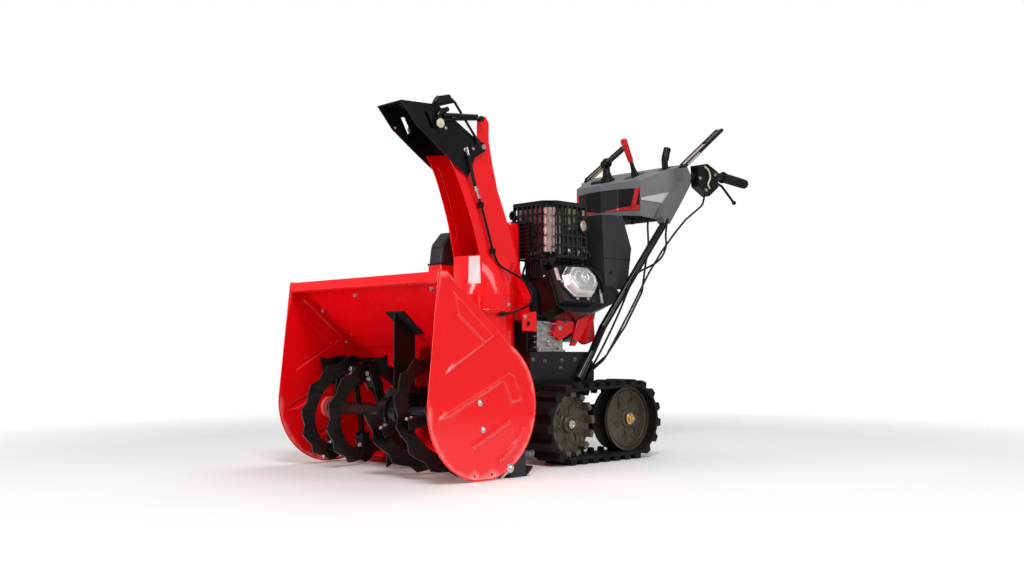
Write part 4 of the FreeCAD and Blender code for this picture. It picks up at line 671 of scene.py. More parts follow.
def channel_half(z):
    """Half width of the channel at a height."""
    top, foot = CHANNEL_Z
    share = max(0, min(1, (top - z) / (top - foot)))
    return CHANNEL_HALF[0] + (CHANNEL_HALF[1] - CHANNEL_HALF[0]) * share


def channel_line(side, back):
    """Points along one front edge of the channel, moved back."""
    return [at(CHUTE_X + side * (channel_half(z) - CHUTE_WALL / 2), y + back, z) for y, z in CHANNEL_FRONT]


def chute_trim():
    """Pressed beads behind and along the channel's front edges, the skirt's bead and a blank plate."""
    bm = bmesh.new()
    x, y, z = BEAD_FOOT
    for _, side in SIDES:
        tube(bm, smooth_line([at(CHUTE_X + side * x, y, z)] + channel_line(side, BEAD_BACK)), 2.7, 10)
        tube(bm, smooth_line(channel_line(side, 0.5)), 2.2, 10)
    ring = circle(at(CHUTE_X, CHUTE_Y, SKIRT_BEAD_Z), Vector((1, 0, 0)), Vector((0, 1, 0)), SKIRT_R + 0.2, 72)
    tube(bm, ring + ring[:1], 2.6, 8)
    piece("chute_beads", bm, "red_paint", body="chute", smooth=40)
    plate = draped(surface("chute_channel"), CHUTE_PLATE, 10, 14, 0.9)
    piece("blank_plate_chute", plate, "red_paint", "blank_plate", body="chute", smooth=60)


def ribbed(bm, start, end, low, high, count):
    """Corrugated sleeve between two points."""
    line = [start.lerp(end, n / count) for n in range(count + 1)]
    tube(bm, line, [high if n % 2 else low for n in range(count + 1)], 14)


def hood_trim():
    """Washers, bolts and cable end on the hood's cheeks, the spring on its arm and its hemmed edges."""
    bm = bmesh.new()
    for x, way in ((HOOD_X, 1), (HOOD_FAR_X, -1)):
        turned(bm, at(x, 64, 1018), (way, 0, 0), HOOD_WASHER, 28)
    piece("hood_washers", bm, "black_plastic", "cream_nylon", body="deflector")
    bm = bmesh.new()
    turned(bm, at(HOOD_X, 172, 954), (1, 0, 0), [(-0.5, 7), (4, 7), (4.5, 5), (9.5, 4.6)], 20)
    tube(bm, [at(88.5, 173, 962), at(89, 176, 946), at(*SLEEVE_HIGH)], [3, 5, 5], 14)
    side_bolts(bm, HOOD_X, ((96, 1010), (206, 962)), 1, 3.6, 1.3)
    side_bolts(bm, HOOD_FAR_X + 3, ((-10, 1012),), 1, 4, 1.2)
    piece("hood_bolts", bm, "zinc_steel", body="deflector")
    bm = bmesh.new()
    ribbed(bm, at(ARM_X, 78, 1046), at(ARM_X, 214, 1062), 5.6, 7, 34)
    bend = [at(ARM_X, 58, 1038), at(ARM_X, 70, 1054), at(ARM_X, 96, 1066)]
    tube(bm, smooth_line(bend), 8, 14)
    prism(bm, ARM_HEAD, ARM_X - 12, ARM_X + 6)
    for x in (HOOD_X - 0.8, HOOD_FAR_X + 0.8):
        tube(bm, [at(x, y, z) for y, z in HOOD_EDGE], 1.9, 10)
    piece("hood_spring", bm, "black_steel", body="deflector", smooth=45, bevel=1)


def cable_trim():
    """Sleeve of the deflector's cable between chute and hood, and its adjuster on the chute."""
    bm = bmesh.new()
    low, high = at(*SLEEVE_LOW), at(*SLEEVE_HIGH)
    ribbed(bm, low, high, 4.6, 5.8, 40)
    sleeve = piece("cable_sleeve", bm, "black_plastic", "grip_rubber", body=None, smooth=50)
    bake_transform(sleeve)
    bm = bmesh.new()
    axis = (at(*CABLE_CLIP) - at(*CABLE_TOP)).normalized()
    turned(bm, at(90.5, 204.5, 846), axis, [(0, 4.4), (9, 4.4), (9.5, 4.2), (40, 4.2)], 16)
    turned(bm, at(90.5, 207.5, 839), axis, [(0, 7.2), (7, 7.2)], 6)
    turned(bm, at(90.5, 216, 820.5), axis, [(0, 6.6), (5, 6.6)], 6)
    piece("cable_adjuster", bm, "zinc_steel", body="chute")


# ---- chute drive and belt cover ----
def drive_trim():
    """Bolts of the chute's drive and of the belt cover, and the drive cover's seam."""
    bm = bmesh.new()
    for x in (-146, -106):
        bolts(bm, ((x, 226, 588),), (0, -1, 0), 5, 1.4)
        bolts(bm, ((x, 312, 588),), (0, 1, 0), 5, 1.4)
    bolts(bm, [(x, 440, z) for z in (520, 735) for x in (-20, 20)], (0, 1, 0), 5, 1.4)
    side_bolts(bm, 150, ((358, 450.6),), 1, 4.4, 1.3)
    piece("cover_bolts", bm, "zinc_steel")
    bm = bmesh.new()
    side_bolts(bm, 148, ((372, 430),), 1, 6.4, 1)
    block(bm, (-160, 224, 619), (-92, 314, 625))
    piece("drive_seam", bm, "black_steel", smooth=35, bevel=1)


# ---- undercarriage and frame ----
SPROCKET = (453, 123.3)
IDLER = (738, 127.3)
DISC_X = 236
AXLE_X = 256
HUB_CUP = ((-1, 34), (2, 34), (4, 29), (16, 27), (18, 25), (17, 21), (6, 20))
IDLER_HUB = ((-1, 30), (5, 28), (7, 24))
SHAFT_END = ((-4, 13.2), (3, 13.2), (4.5, 11.5), (4.4, 7.5), (2, 7))
IDLER_WASHER = ((0, 19), (2.6, 19), (3.2, 18))
IDLER_NUT = ((0, 14.5), (8, 14.5), (9.6, 12.6))
IDLER_STUD = ((0, 8.5), (6, 8.5), (7, 7.4))
KITE = ((0.30, 0), (0.56, 0.36), (0.90, 0), (0.56, -0.36), (0.30, 0))  # share of radius, turn
KITES = 6
FRAME_X = 135
FRAME_BOLTS = ((409, 319), (460, 313), (538, 315), (598, 318), (532, 290))


def hub_trim(name, side):
    """Hub cups and shaft end of a track's wheels, and the idler's nut."""
    out = (side, 0, 0)
    bm = bmesh.new()
    turned(bm, at(side * DISC_X, *SPROCKET), out, HUB_CUP, 36)
    turned(bm, at(side * DISC_X, *IDLER), out, IDLER_HUB, 36)
    piece("hub_cups_" + name, bm, "wheel_casting", body="undercarriage", smooth=40)
    bm = bmesh.new()
    turned(bm, at(side * AXLE_X, *SPROCKET), out, SHAFT_END, 28)
    piece("shaft_ends_" + name, bm, "zinc_steel", body="undercarriage")
    bm = bmesh.new()
    for rise, profile, sides in ((12, IDLER_WASHER, 32), (14, IDLER_NUT, 6), (20, IDLER_STUD, 24)):
        turned(bm, at(side * (DISC_X + rise), *IDLER), out, profile, sides)
    piece("idler_nut_" + name, bm, "zinc_steel", "yellow_zinc", body="undercarriage")


def disc_pressings(name, side):
    """Ring of kite-shaped ribs and a rim on each wheel's disc."""
    bm = bmesh.new()
    for (y, z), radius in ((SPROCKET, 90), (IDLER, 94)):

        def on_disc(reach, angle, y=y, z=z, radius=radius):
            return at(side * DISC_X, y + radius * reach * cos(angle), z + radius * reach * sin(angle))

        for start in full_turn(KITES):
            tube(bm, [on_disc(reach, start + turn) for reach, turn in KITE], 2.2, 8)
        rim = [on_disc(0.955, angle) for angle in full_turn(64)]
        tube(bm, rim + rim[:1], 2.4, 8)
    piece("disc_pressings_" + name, bm, "wheel_casting", body="undercarriage", smooth=45)


def frame_trim():
    """Bolts of the frame's cheeks."""
    bm = bmesh.new()
    for _, side in SIDES:
        side_bolts(bm, side * FRAME_X, FRAME_BOLTS, side, 5.2, 1.5)
    piece("frame_bolts", bm, "zinc_steel", "dim_steel")


# ---- engine ----
CYLINDER_TILT = radians(20.8)
CYLINDER_OUT = (cos(CYLINDER_TILT), 0, sin(CYLINDER_TILT))
CRANK_Z = 492
COVER_Y = (487, 623)
COVER_W = (-49, 47)
COVER_CUT = 30
COVER_STEPS = ((203, -3), (208, -3), (209, 0), (224, 4), (231, 8), (234, 14),
               (234.4, 19), (231.8, 20.5), (231.8, 22), (235, 24), (235.8, 28))
COVER_BOSS = ((0, 19), (4, 18), (5, 15), (5.2, 12), (3.4, 10), (3.2, 6), (5, 5), (5.4, 2))
FLANGE_STEPS = ((199, -10), (204, -10))
HOSE = ((188, 560, 62), (192, 610, 62), (196, 660, 46), (194, 682, 14),
        (184, 690, -20))
HEAD_BOLTS = ((204, 531, -57), (204, 579, -57), (204, 479, -1), (204, 631, -1))
COWL_FACE = 177
COWL_STRIP = ((681, -8), (690, -8), (680, -58), (671, -58))


def about_crank(angle):
    """Frame turned about the crankshaft: out from it, along it and across, in millimetres."""
    def place(u, y, w):
        x = u * cos(angle) - w * sin(angle)
        return at(x, y, u * sin(angle) + w * cos(angle) + CRANK_Z)
    return place


engine_at = about_crank(CYLINDER_TILT)


def cover_ring(u, inset):
    """Eight-sided outline of the rocker cover at a height, moved inwards."""
    y0, y1, w0, w1 = COVER_Y[0] + inset, COVER_Y[1] - inset, COVER_W[0] + inset, COVER_W[1] - inset
    cut = COVER_CUT - 0.55 * inset
    outline = ((y0 + cut, w0), (y1 - cut, w0), (y1, w0 + cut), (y1, w1 - cut),
               (y1 - cut, w1), (y0 + cut, w1), (y0, w1 - cut), (y0, w0 + cut))
    return [engine_at(u, y, w) for y, w in outline]


def head_trim():
    """Stepped rocker cover with its boss, the flange behind it, a hose and bright strips beside it."""
    bm = bmesh.new()
    add_rings(bm, [cover_ring(*step) for step in COVER_STEPS])
    turned(bm, engine_at(234.5, 560, 3), CYLINDER_OUT, COVER_BOSS, 36)
    cover = piece("rocker_cover_pressed", bm, "polished_cover", bevel=1.3)
    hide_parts("rocker_cover")
    bm = bmesh.new()
    add_rings(bm, [cover_ring(*step) for step in FLANGE_STEPS])
    tube(bm, smooth_line([engine_at(*spot) for spot in HOSE], 8), 7, 14)
    piece("cover_flange", bm, "black_plastic", bevel=1)
    bm = bmesh.new()
    block(bm, (198, 466, 4), (204, 478, 46), engine_at)
    prism(bm, COWL_STRIP, COWL_FACE - 0.5, COWL_FACE + 2.5, engine_at)
    piece("head_strips", bm, "polished_cover", smooth=35, bevel=0.8)
    bm = bmesh.new()
    bolts(bm, HEAD_BOLTS, CYLINDER_OUT, 4.6, 1.2, engine_at)
    bolt(bm, engine_at(150, 468, 37.5), (-sin(CYLINDER_TILT), 0, cos(CYLINDER_TILT)), 5, 1.3)
    piece("head_bolts", bm, "zinc_steel")


OUTLET = (614, 752)  # Y, Z of the exhaust outlet's centre
OUTLET_TALL = 1.16  # its height over its width
OUTLET_LIP = ((156, 22.5), (164, 22.5), (165, 21), (165, 17), (158, 16))
OUTLET_PIPE = ((157.5, 16.5), (162, 15.5), (163.4, 12), (163.8, 6))
LIFTING_LUG = ((0, 16), (4, 16), (4, 8.5), (0, 8.5), (0, 16))
GUARD_RODS = ((137, 487), (144.5, 505), (145, 519), (145, 533))
GUARD_STUDS = ((148, 560, 668), (150, 596, 664), (146, 636, 672))
GUARD_WIRE = ((151, 548, 656), (153, 590, 653), (151, 650, 657))
CYLINDER_FINS = 7
CYLINDER_FIN_PITCH = 11
PLUG = ((118, 500, 610), (124, 486, 622), (126, 474, 628))
PLUG_LEAD = ((124, 478, 628), (96, 456, 640), (60, 450, 620), (40, 452, 580))


def oval(bm, steps):
    """Upright oval rings round the outlet, from (X, half width) pairs."""
    (y, z), rings = OUTLET, []
    for x, half in steps:
        rings.append([at(x, y + half * cos(t), z + half * OUTLET_TALL * sin(t)) for t in full_turn(40)])
    add_rings(bm, rings)


def guard_trim():
    """Lip of the outlet in the guard's side, nuts and lug beside it, and the pipe within."""
    bm = bmesh.new()
    oval(bm, OUTLET_LIP)
    for y in (488, 640):
        turned(bm, at(160, y, 660), (1, 0, 0), [(-1, 9), (3.5, 9), (4.5, 8)], 20)
    turned(bm, at(-4, 456, 786), (0, -1, 0), LIFTING_LUG, 28)
    block(bm, (-6, 451.5, 700), (6, 456, 772))
    piece("guard_trim", bm, "black_steel", bevel=0.6)
    bm = bmesh.new()
    oval(bm, OUTLET_PIPE)
    for y0, y1 in ((548, 606), (622, 646)):
        block(bm, (141, y0, 738), (144, y1, 806))
    piece("outlet_oval", bm, "muffler_steel", "beige_outlet", smooth=50, bevel=0.8)


def cylinder_trim():
    """Rods and studs below the guard, and the cylinder's fins with the spark plug and its lead."""
    bm = bmesh.new()
    for x, y in GUARD_RODS:
        tube(bm, [at(x, y, 655), at(x, y, 790)], 2.4, 10)
    for stud in GUARD_STUDS:
        turned(bm, at(*stud), (1, 0, 0), [(-12, 9), (3, 9), (4, 5), (8, 4)], 20)
    tube(bm, placed(GUARD_WIRE), 2, 8)
    piece("guard_rods", bm, "zinc_steel")
    bm = bmesh.new()
    for n in range(CYLINDER_FINS):
        x = 48 + CYLINDER_FIN_PITCH * n
        block(bm, (x, 460, 578), (x + 3.5, 500, 640))
    tube(bm, smooth_line(placed(PLUG)), 9, 16)
    tube(bm, smooth_line(placed(PLUG_LEAD), 8), 3.5, 10)
    piece("cylinder_fins", bm, "black_steel")


BRACKET_BAR = ((585, 362), (606, 362), (664, 430), (694, 452), (690, 478), (640, 478),
               (612, 436))
BRACKET_TAIL = ((636, 384), (668, 366), (716, 380), (706, 478), (640, 478))
BRACKET_RISE = ((512, 410), (534, 462), (600, 468), (594, 414), (542, 388))


def bracket_trim():
    """Slanted bar, rear gusset and raised field of the red engine bracket, and its bolts."""
    bm = bmesh.new()
    prism(bm, BRACKET_BAR, 121, 132)
    prism(bm, BRACKET_TAIL, 100, 120)
    prism(bm, BRACKET_RISE, 125, 129)
    piece("bracket_bar", bm, "red_paint", smooth=35, bevel=2, segments=3)
    bm = bmesh.new()
    side_bolts(bm, 131.5, ((598, 378), (668, 462)), 1, 5, 1.4)
    side_bolts(bm, 128.5, ((560, 440),), 1, 5, 1.4)
    piece("bracket_bolts", bm, "zinc_steel", "dim_steel")


ENGINE_REAR_Y = 756
BASE_FINS = 5
BASE_FIN_PITCH = 17
OIL_LINE = ((118, 470, 438), (124, 500, 432), (124, 545, 436))
STARTER_SLOTS = 12
STARTER_HUB = ((-1, 42), (6, 40), (9, 34), (10, 12))
CAP_AT = (-90, 752)
CAP_RIBS = 22


def base_trim():
    """Fins, foot, bolts, plugs and oil line of the engine's base."""
    bm = bmesh.new()
    for n in range(BASE_FINS):
        z = 356 + BASE_FIN_PITCH * n
        block(bm, (109, 458, z), (118, 560, z + 4))
        block(bm, (-106, 441.5, z), (106, 450, z + 4))
    bolts(bm, ((88, 446.5, 347), (-88, 446.5, 347)), (0, -1, 0), 6, 1.6)
    block(bm, (-124, 440, 343.2), (124, 566, 350))
    bolts(bm, [(x, y, 350) for y in (456, 548) for x in (117, -117)], (0, 0, 1), 6, 1.6)
    turned(bm, at(113, 500, 372), (1, 0, 0), [(-2, 13), (8, 13), (9, 11)], 6)
    turned(bm, at(113, 536, 420), (1, 0, 0), [(-2, 16), (9, 15), (10, 12), (18, 8)], 24)
    tube(bm, placed(OIL_LINE), 3, 10)
    piece("base_fins", bm, "engine_casting", bevel=0.8)


def rear_trim():
    """Seams of intake cover and tank, the starter's slots, hub and handle, and the fuel cap."""
    bm = bmesh.new()
    block(bm, (153.6, 716, 652.6), (155.5, 858, 655))
    turned(bm, at(155, 756, 605.5), (1, 0, 0), [(-0.5, 7.5), (0.7, 7)], 24)
    block(bm, (-192.5, 671.5, 700), (52.5, 858.5, 705))
    piece("engine_seams", bm, "black_plastic", smooth=35, bevel=0.6)
    bm = bmesh.new()
    for angle in full_turn(STARTER_SLOTS):
        block(bm, (52, ENGINE_REAR_Y - 2, -4), (86, ENGINE_REAR_Y + 0.8, 4), about_crank(angle))
    turned(bm, at(0, ENGINE_REAR_Y, CRANK_Z), (0, 1, 0), STARTER_HUB, 40)
    handle_y = ENGINE_REAR_Y + 14
    tube(bm, smooth_line([at(30, handle_y, 592), at(86, handle_y, 578)]), 8, 16)
    tube(bm, [at(58, ENGINE_REAR_Y - 4, 582), at(58, handle_y, 585)], 5, 12)
    for angle in full_turn(CAP_RIBS):
        x, y = CAP_AT[0] + 30 * cos(angle), CAP_AT[1] + 30 * sin(angle)
        tube(bm, [at(x, y, 791), at(x, y, 809)], 2.6, 8)
    turned(bm, at(*CAP_AT, 785), (0, 0, 1), [(0, 36), (3, 36), (4, 33)], 36)
    piece("starter_and_cap", bm, "black_plastic", smooth=35, bevel=0.6)


# ---- console, levers and grips ----
CONSOLE_TOP = (920, 938)  # Y, Z of its front edge
CONSOLE_SLOPE = 0.4
PANEL = ((-148, 910), (148, 910), (148, 833), (-148, 833))
STRIPE_SLANT = ((133, 910), (147.5, 910), (135, 846), (119, 846))
STRIPE_LOW = ((22, 836), (147.5, 852), (147.5, 834), (22, 833.5))
FACET = ((153, 876), (197, 900), (186, 861), (153.5, 868))
SLOT_PLATES = (  # X from and to, Y from and to, and how far each stands out
    (30, 72, 972, 1046, 2),
    (132, 168, 1036, 1082, 2),
    (-122, -28, 966, 992, 8),
    (-118, -82, 1004, 1038, 3),
)
GEAR_BOOT = ((50, 1013, 975), (50, 1004, 996), (50, 992, 1022))
CHUTE_BOOT = ((-100, 1020, 977), (-100, 1019, 992), (-100, 1018, 1012))
PADDLE = ((150, 1060, 996), (150, 1057, 1024), (150, 1062, 1046), (150, 1071, 1068))
STICK_BOOT = ((0, 31), (12, 29), (26, 17), (44, 9), (64, 8))
GEAR_GRIP = ((50, 987, 1030), (50, 948, 1099))
GEAR_GRIP_STEPS = ((-0.12, 8), (0, 10), (0.25, 10.4), (0.6, 11.4), (0.9, 12.4), (0.98, 11), (1.01, 6))


def console_panel():
    """Blank black panel with red stripes on the console's front, and pale corner facets."""
    skin = surface("console")
    panel = draped(skin, PANEL, 60, 6, 1.2)
    piece("console_panel", panel, "black_plastic", "panel_black", smooth=50)
    for side_name, side in SIDES:
        for name, corners, across, down, thick, slot, material in (
                ("stripe_slant_", STRIPE_SLANT, 4, 8, 2, "red_paint", "panel_red"),
                ("stripe_low_", STRIPE_LOW, 20, 2, 2, "red_paint", "panel_red"),
                ("facet_", FACET, 10, 4, 7, "grey_plastic", "facet_grey")):
            plate = draped(skin, [(side * x, z) for x, z in corners], across, down, thick)
            piece(name + side_name, plate, slot, material, smooth=50)


def sloped_plate(bm, x0, x1, y0, y1, rise):
    """Plate lying on the console's sloping top."""
    low, high = (CONSOLE_TOP[1] + CONSOLE_SLOPE * (y - CONSOLE_TOP[0]) for y in (y0, y1))
    prism(bm, [(y0, low - 2), (y1, high - 2), (y1, high + rise), (y0, low + rise)], x0, x1)


def console_trim():
    """Slot plates, rubber boots and the levers' coverings."""
    bm = bmesh.new()
    for plate in SLOT_PLATES:
        sloped_plate(bm, *plate)
    tube(bm, placed(GEAR_BOOT), [15, 9, 6.5], 18)
    tube(bm, placed(CHUTE_BOOT), [14, 8, 6.8], 18)
    paddle = placed(PADDLE)
    tube(bm, smooth_line(paddle), 11.5, 16)
    tube(bm, smooth_line([spot + Vector((0, 0.004, 0)) for spot in paddle[1:]]), 12.5, 16)
    turned(bm, at(-60, 990, 956), (0, 0, 1), STICK_BOOT, 28)
    turned(bm, at(-60, 986, 1032), (0, -0.2, 1), ball(19, 14), 24)
    turned(bm, at(60, 985, 818), (0, 0, -1), [(0, 13), (8, 13), (12, 8), (22, 7)], 20)
    turned(bm, at(150, 960, 830), (0, 0, -1), [(0, 11), (12, 11), (16, 7), (30, 6)], 20)
    piece("console_boots", bm, "black_plastic", smooth=40, bevel=0.8)
    bm = bmesh.new()
    low, high = placed(GEAR_GRIP)
    line = [low.lerp(high, share) for share, _ in GEAR_GRIP_STEPS]
    tube(bm, line, [radius for _, radius in GEAR_GRIP_STEPS], 20)
    piece("gear_grip", bm, "red_paint", "lever_red", smooth=50)


LEVER = ((227, 1060, 990), (227, 1289, 1154))  # foot and tip
GRIP = ((258, 1396, 962), (238, 1142, 986))  # outer end, and the bend that it runs from
GRIP_R = 17
GRIP_LENGTH = 128
GRIP_RIBS = 13
GRIP_RIB_START = 14
GRIP_RIB_PITCH = 8
GRIP_RIB = ((-2.6, GRIP_R - 0.5), (-1.2, GRIP_R + 0.9), (1.2, GRIP_R + 0.9), (2.6, GRIP_R - 0.5))
GRIP_FLANGE = ((-5, 20.5), (0, 21.5), (3, 20), (3.5, 13))
WRIST_BOLTS = ((1124, 955), (1160, 916), (1214, 978))
WRIST_LEAD = ((255, 1150, 1000), (259, 1170, 985), (260, 1176, 960), (258, 1166, 938),
              (254, 1180, 924))


def lever_trim(name, side):
    """Rails, face plate and side strips of a clutch lever."""
    foot, tip = placed(LEVER, side)
    along = (tip - foot).normalized()
    rise = Vector((0, -along.z, along.y))
    length = (tip - foot).length * 1000

    def on_lever(a, x, h):
        return foot + along * (a / 1000) + Vector((x / 1000, 0, 0)) + rise * (h / 1000)

    bm = bmesh.new()
    for x in (-14, 10.5):
        block(bm, (8, x, 3), (length - 4, x + 3.5, 9), on_lever)
    block(bm, (length * 0.62, -13, 3.5), (length - 3, 13, 6.5), on_lever)
    piece("lever_rails_" + name, bm, "black_plastic", smooth=35, bevel=0.9)
    bm = bmesh.new()
    block(bm, (14, -10, 3.5), (length * 0.58, 10, 5.4), on_lever)
    for x in (-16, 14):
        block(bm, (14, x, -4), (length * 0.36, x + 2, 5), on_lever)
    # the right lever's face gets a yellow-olive colour as painted shade for its shaded look; the left one
    # keeps its own pink-grey
    face_tone_by_light = "lever_grey" if side > 0 else "brass_lever"
    piece("lever_face_" + name, bm, "grey_plastic", face_tone_by_light, smooth=35, bevel=0.7)


def grip_trim(name, side):
    """Ribs and flange of a handgrip."""
    end, bend = placed(GRIP, side)
    back = (bend - end).normalized()
    bm = bmesh.new()
    for n in range(GRIP_RIBS):
        along = GRIP_LENGTH - GRIP_RIB_START - GRIP_RIB_PITCH * n
        turned(bm, end + back * (along / 1000), back, GRIP_RIB, 28)
    turned(bm, end + back * (GRIP_LENGTH / 1000), back, GRIP_FLANGE, 32)
    piece("grip_ribs_" + name, bm, "grip_rubber", smooth=40)


def wrist_trim(name, side):
    """Bolts, lead and lever's ball of the controls before a handgrip."""
    bm = bmesh.new()
    side_bolts(bm, side * 254, WRIST_BOLTS, side, 4.8, 1.4)
    piece("wrist_bolts_" + name, bm, "zinc_steel")
    bm = bmesh.new()
    tube(bm, smooth_line(placed(WRIST_LEAD, side)), 3.2, 12)
    piece("wrist_lead_" + name, bm, "zinc_steel", "cream_nylon", smooth=50)
    bm = bmesh.new()
    turned(bm, at(side * 252, 1334, 887), (0, 0.8, -0.6), ball(8, 12), 20)
    piece("turn_ball_" + name, bm, "black_plastic", smooth=60)


# ---- free cables ----
CORD_R = 3.5
DEFLECTOR_ROUTE = ((97, 284, 632), (98.5, 294, 612), (112, 312, 596), (134, 334, 582), (156, 352, 560),
                   (172, 362, 532), (178, 363, 505), (168, 357, 484), (148, 343, 474), (134, 318, 464),
                   (130, 298, 460), (129, 287, 459))
CONSOLE_ROUTE = ((212, 985, 790), (215, 980, 768), (234, 950, 738), (243, 945, 700), (238, 918, 654),
                 (230, 862, 626), (212, 818, 606), (196, 796, 550), (184, 768, 480), (170, 716, 384),
                 (150, 682, 312), (135, 655, 262))


def spline_points(route):
    """Points along the NURBS curve that a route controls."""
    curve = bpy.data.curves.new("route", "CURVE")
    curve.dimensions = "3D"
    curve.resolution_u = 8
    spline = curve.splines.new("NURBS")
    spline.points.add(len(route) - 1)
    for point, place in zip(spline.points, route):
        point.co = (*at(*place), 1)
    spline.order_u = 3
    spline.use_endpoint_u = True
    holder = bpy.data.objects.new("route", curve)
    mesh = bpy.data.meshes.new_from_object(holder)
    line = [v.co.copy() for v in mesh.vertices]
    bpy.data.objects.remove(holder)
    return line


def cord(name, route, body):
    """A free cable along a route; the length of its curve is summed but not used."""
    line = spline_points(route)
    bm = bmesh.new()
    tube(bm, line, CORD_R, 14)
    cable = piece(name, bm, "black_plastic", body=body, smooth=60)
    if body is None:
        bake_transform(cable)
    length = sum((b - a).length for a, b in zip(line, line[1:]))
    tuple(line[0])


def cords():
    """The deflector cable's loop from the turning chute to its collar, one from the console, and clips."""
    cord("deflector_cable_loop", DEFLECTOR_ROUTE, None)
    cord("console_cable_loop", CONSOLE_ROUTE, "machine")
    bm = bmesh.new()
    turned(bm, at(129, 290, 459.4), (-0.1, -1, -0.1), [(-7, 5.6), (-6, 6.2), (6, 6.2), (7, 5.6)], 16)
    turned(bm, at(126.5, 282, 459), (0.97, -0.22, 0), [(-2, 8), (3, 8), (4, 6.5)], 20)
    turned(bm, at(212, 985, 794), (0.05, -0.1, -1), [(-8, 7.5), (4, 7.5), (10, 4.6), (16, 4.4)], 16)
    turned(bm, at(133, 652, 259), (0.5, 0.6, 0.8), [(-2, 6.5), (6, 6.5), (8, 4.6)], 16)
    piece("cable_clips", bm, "black_plastic", smooth=40)


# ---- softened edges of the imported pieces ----
SOFT_EDGES = (  # node, width in millimetres, segments
    ("console", 5, 3),
    ("intake_cover", 6, 3),
    ("lower_shroud", 4, 3),
    ("motor_cover", 8, 3),
    ("belt_cover", 2.5, 2),
    ("muffler_guard", 1.2, 2),
    ("engine_bracket", 2.5, 2),
    ("chute_drive", 3, 2),
    ("clutch_levers", 2, 2),
    ("fan_shroud", 3, 2),
    ("frame", 1, 1),
)


def soften(name, width, segments):
    """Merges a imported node's flat faces and rounds its sharp edges, by modifiers only."""
    node = NODES[name]
    weld = node.modifiers.new("weld", "WELD")
    weld.merge_threshold = 0.00002
    flat = node.modifiers.new("flat", "DECIMATE")
    flat.decimate_type = "DISSOLVE"
    flat.angle_limit = radians(1)
    rounded(node, width, segments, 28)


# ---- stage ----
FLOOR_HALF = 30
FLOOR_FADE = (1.5, 2.6)  # metres from the middle
LAMP_STRENGTH = 0.36
WHITE = (1, 1, 1, 1)
LIGHTS = (  # name, place, size in metres, watts
    ("key", (2.5, -2.2, 4.4), 1.6, 120),
    ("side", (4.8, 0.6, 2.2), 1.6, 45),
    ("front", (-0.8, -4.8, 1), 1.6, 90),
    ("top", (-0.6, 1.6, 4.6), 2.2, 60),
)
LIGHT_TARGET = Vector((0, 0, 0.5))
CAMERA_PLACE = (2.4442, -2.4959, 0.3569)
CAMERA_AZIMUTH = 46.2425
CAMERA_PITCH = 3.3391
CAMERA_LENS = 36.75
CAMERA_SENSOR = 36


def floor():
    """Pale floor that fades into the white background."""
    mesh = bpy.data.meshes.new("floor")
    corners = [(x * FLOOR_HALF, y * FLOOR_HALF, 0) for x, y in ((-1, -1), (1, -1), (1, 1), (-1, 1))]
    mesh.from_pydata(corners, [], [(0, 1, 2, 3)])
    obj = bpy.data.objects.new("floor", mesh)
    SCENE.collection.objects.link(obj)
    mat, tree, shader, coord = new_material("floor_white")
    feed(tree, shader, {"Base Color": (0.93, 0.93, 0.93, 1), "Roughness": 0.7})
    distance = add(tree, "VectorMath", {0: coord})
    distance.operation = "LENGTH"
    fade = spread(tree, distance.outputs["Value"], 0, 1, *FLOOR_FADE)
    clear = add(tree, "BsdfTransparent", {})
    mix = add(tree, "MixShader", {"Fac": fade, 1: shader.outputs["BSDF"], 2: clear.outputs["BSDF"]})
    feed(tree, tree.nodes["Material Output"], {"Surface": mix.outputs[0]})
    mesh.materials.append(mat)


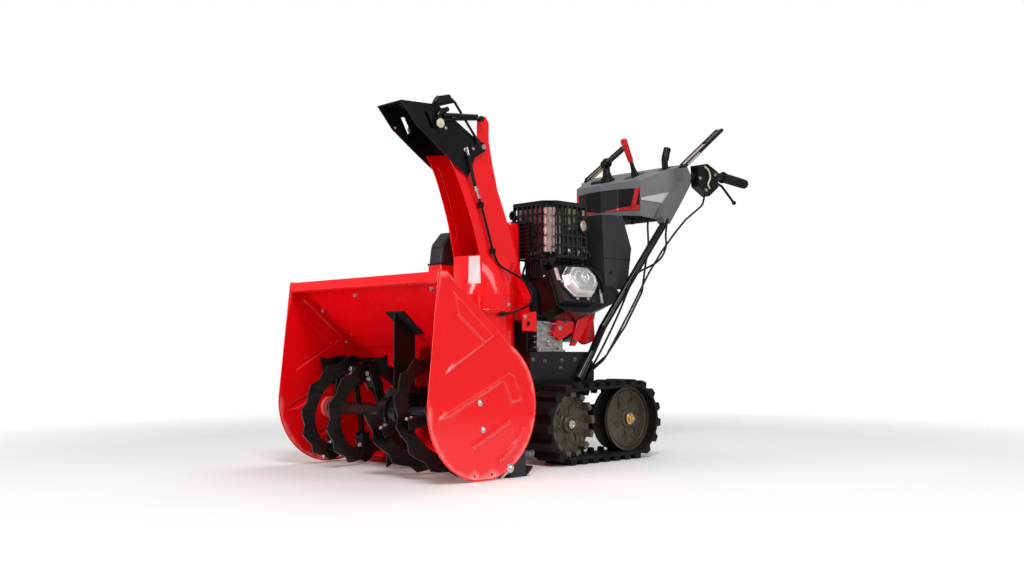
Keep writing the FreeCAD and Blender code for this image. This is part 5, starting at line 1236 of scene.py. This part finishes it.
def world_light():
    """An even world lamp, seen as plain white by the camera and through the clear floor."""
    world = bpy.data.worlds.new("studio")
    world.use_nodes = True
    SCENE.world = world
    tree = world.node_tree
    rays = add(tree, "LightPath", {})
    lamp = feed(tree, tree.nodes["Background"], {"Color": WHITE, "Strength": LAMP_STRENGTH})
    white = add(tree, "Background", {"Color": WHITE, "Strength": 1})
    seen = add(tree, "Math", {0: rays.outputs["Is Camera Ray"], 1: rays.outputs["Is Transmission Ray"]})
    seen.operation = "MAXIMUM"
    mix = add(tree, "MixShader", {"Fac": seen.outputs[0], 1: lamp.outputs[0], 2: white.outputs[0]})
    feed(tree, tree.nodes["World Output"], {"Surface": mix.outputs[0]})


def aimed(name, data, place, forward):
    """Puts a lamp or the camera at a place, looking along a direction."""
    obj = bpy.data.objects.new(name, data)
    obj.location = place
    obj.rotation_mode = "QUATERNION"
    obj.rotation_quaternion = forward.to_track_quat("-Z", "Y")
    SCENE.collection.objects.link(obj)
    return obj


def area_light(name, place, size, power):
    """Square lamp turned to the machine."""
    data = bpy.data.lights.new(name, "AREA")
    data.size = size
    data.energy = power
    aimed(name, data, place, LIGHT_TARGET - Vector(place))


def camera():
    data = bpy.data.cameras.new("camera")
    data.lens = CAMERA_LENS
    data.sensor_width = CAMERA_SENSOR
    data.clip_start = 0.05
    data.clip_end = 100
    a, e = radians(CAMERA_AZIMUTH), radians(CAMERA_PITCH)
    forward = Vector((-sin(a) * cos(e), cos(a) * cos(e), sin(e)))
    SCENE.camera = aimed("camera", data, CAMERA_PLACE, forward)


# ---- all of it ----
side_plates()
plate_hems()
housing_trim()
for name, side in SIDES:
    clamp_bolts(name, side)
    arm_brackets(name, side)
    shear_collar(name, side)
chute_trim()
hood_trim()
cable_trim()
drive_trim()
for name, side in SIDES:
    hub_trim(name, side)
    disc_pressings(name, side)
frame_trim()
head_trim()
guard_trim()
cylinder_trim()
bracket_trim()
base_trim()
rear_trim()
console_panel()
console_trim()
for name, side in SIDES:
    lever_trim(name, side)
    grip_trim(name, side)
    wrist_trim(name, side)
cords()
for soft_edge in SOFT_EDGES:
    soften(*soft_edge)
dress_nodes()

SCENE.view_settings.view_transform = "Standard"
camera()
floor()
world_light()
for light in LIGHTS:
    area_light(*light)
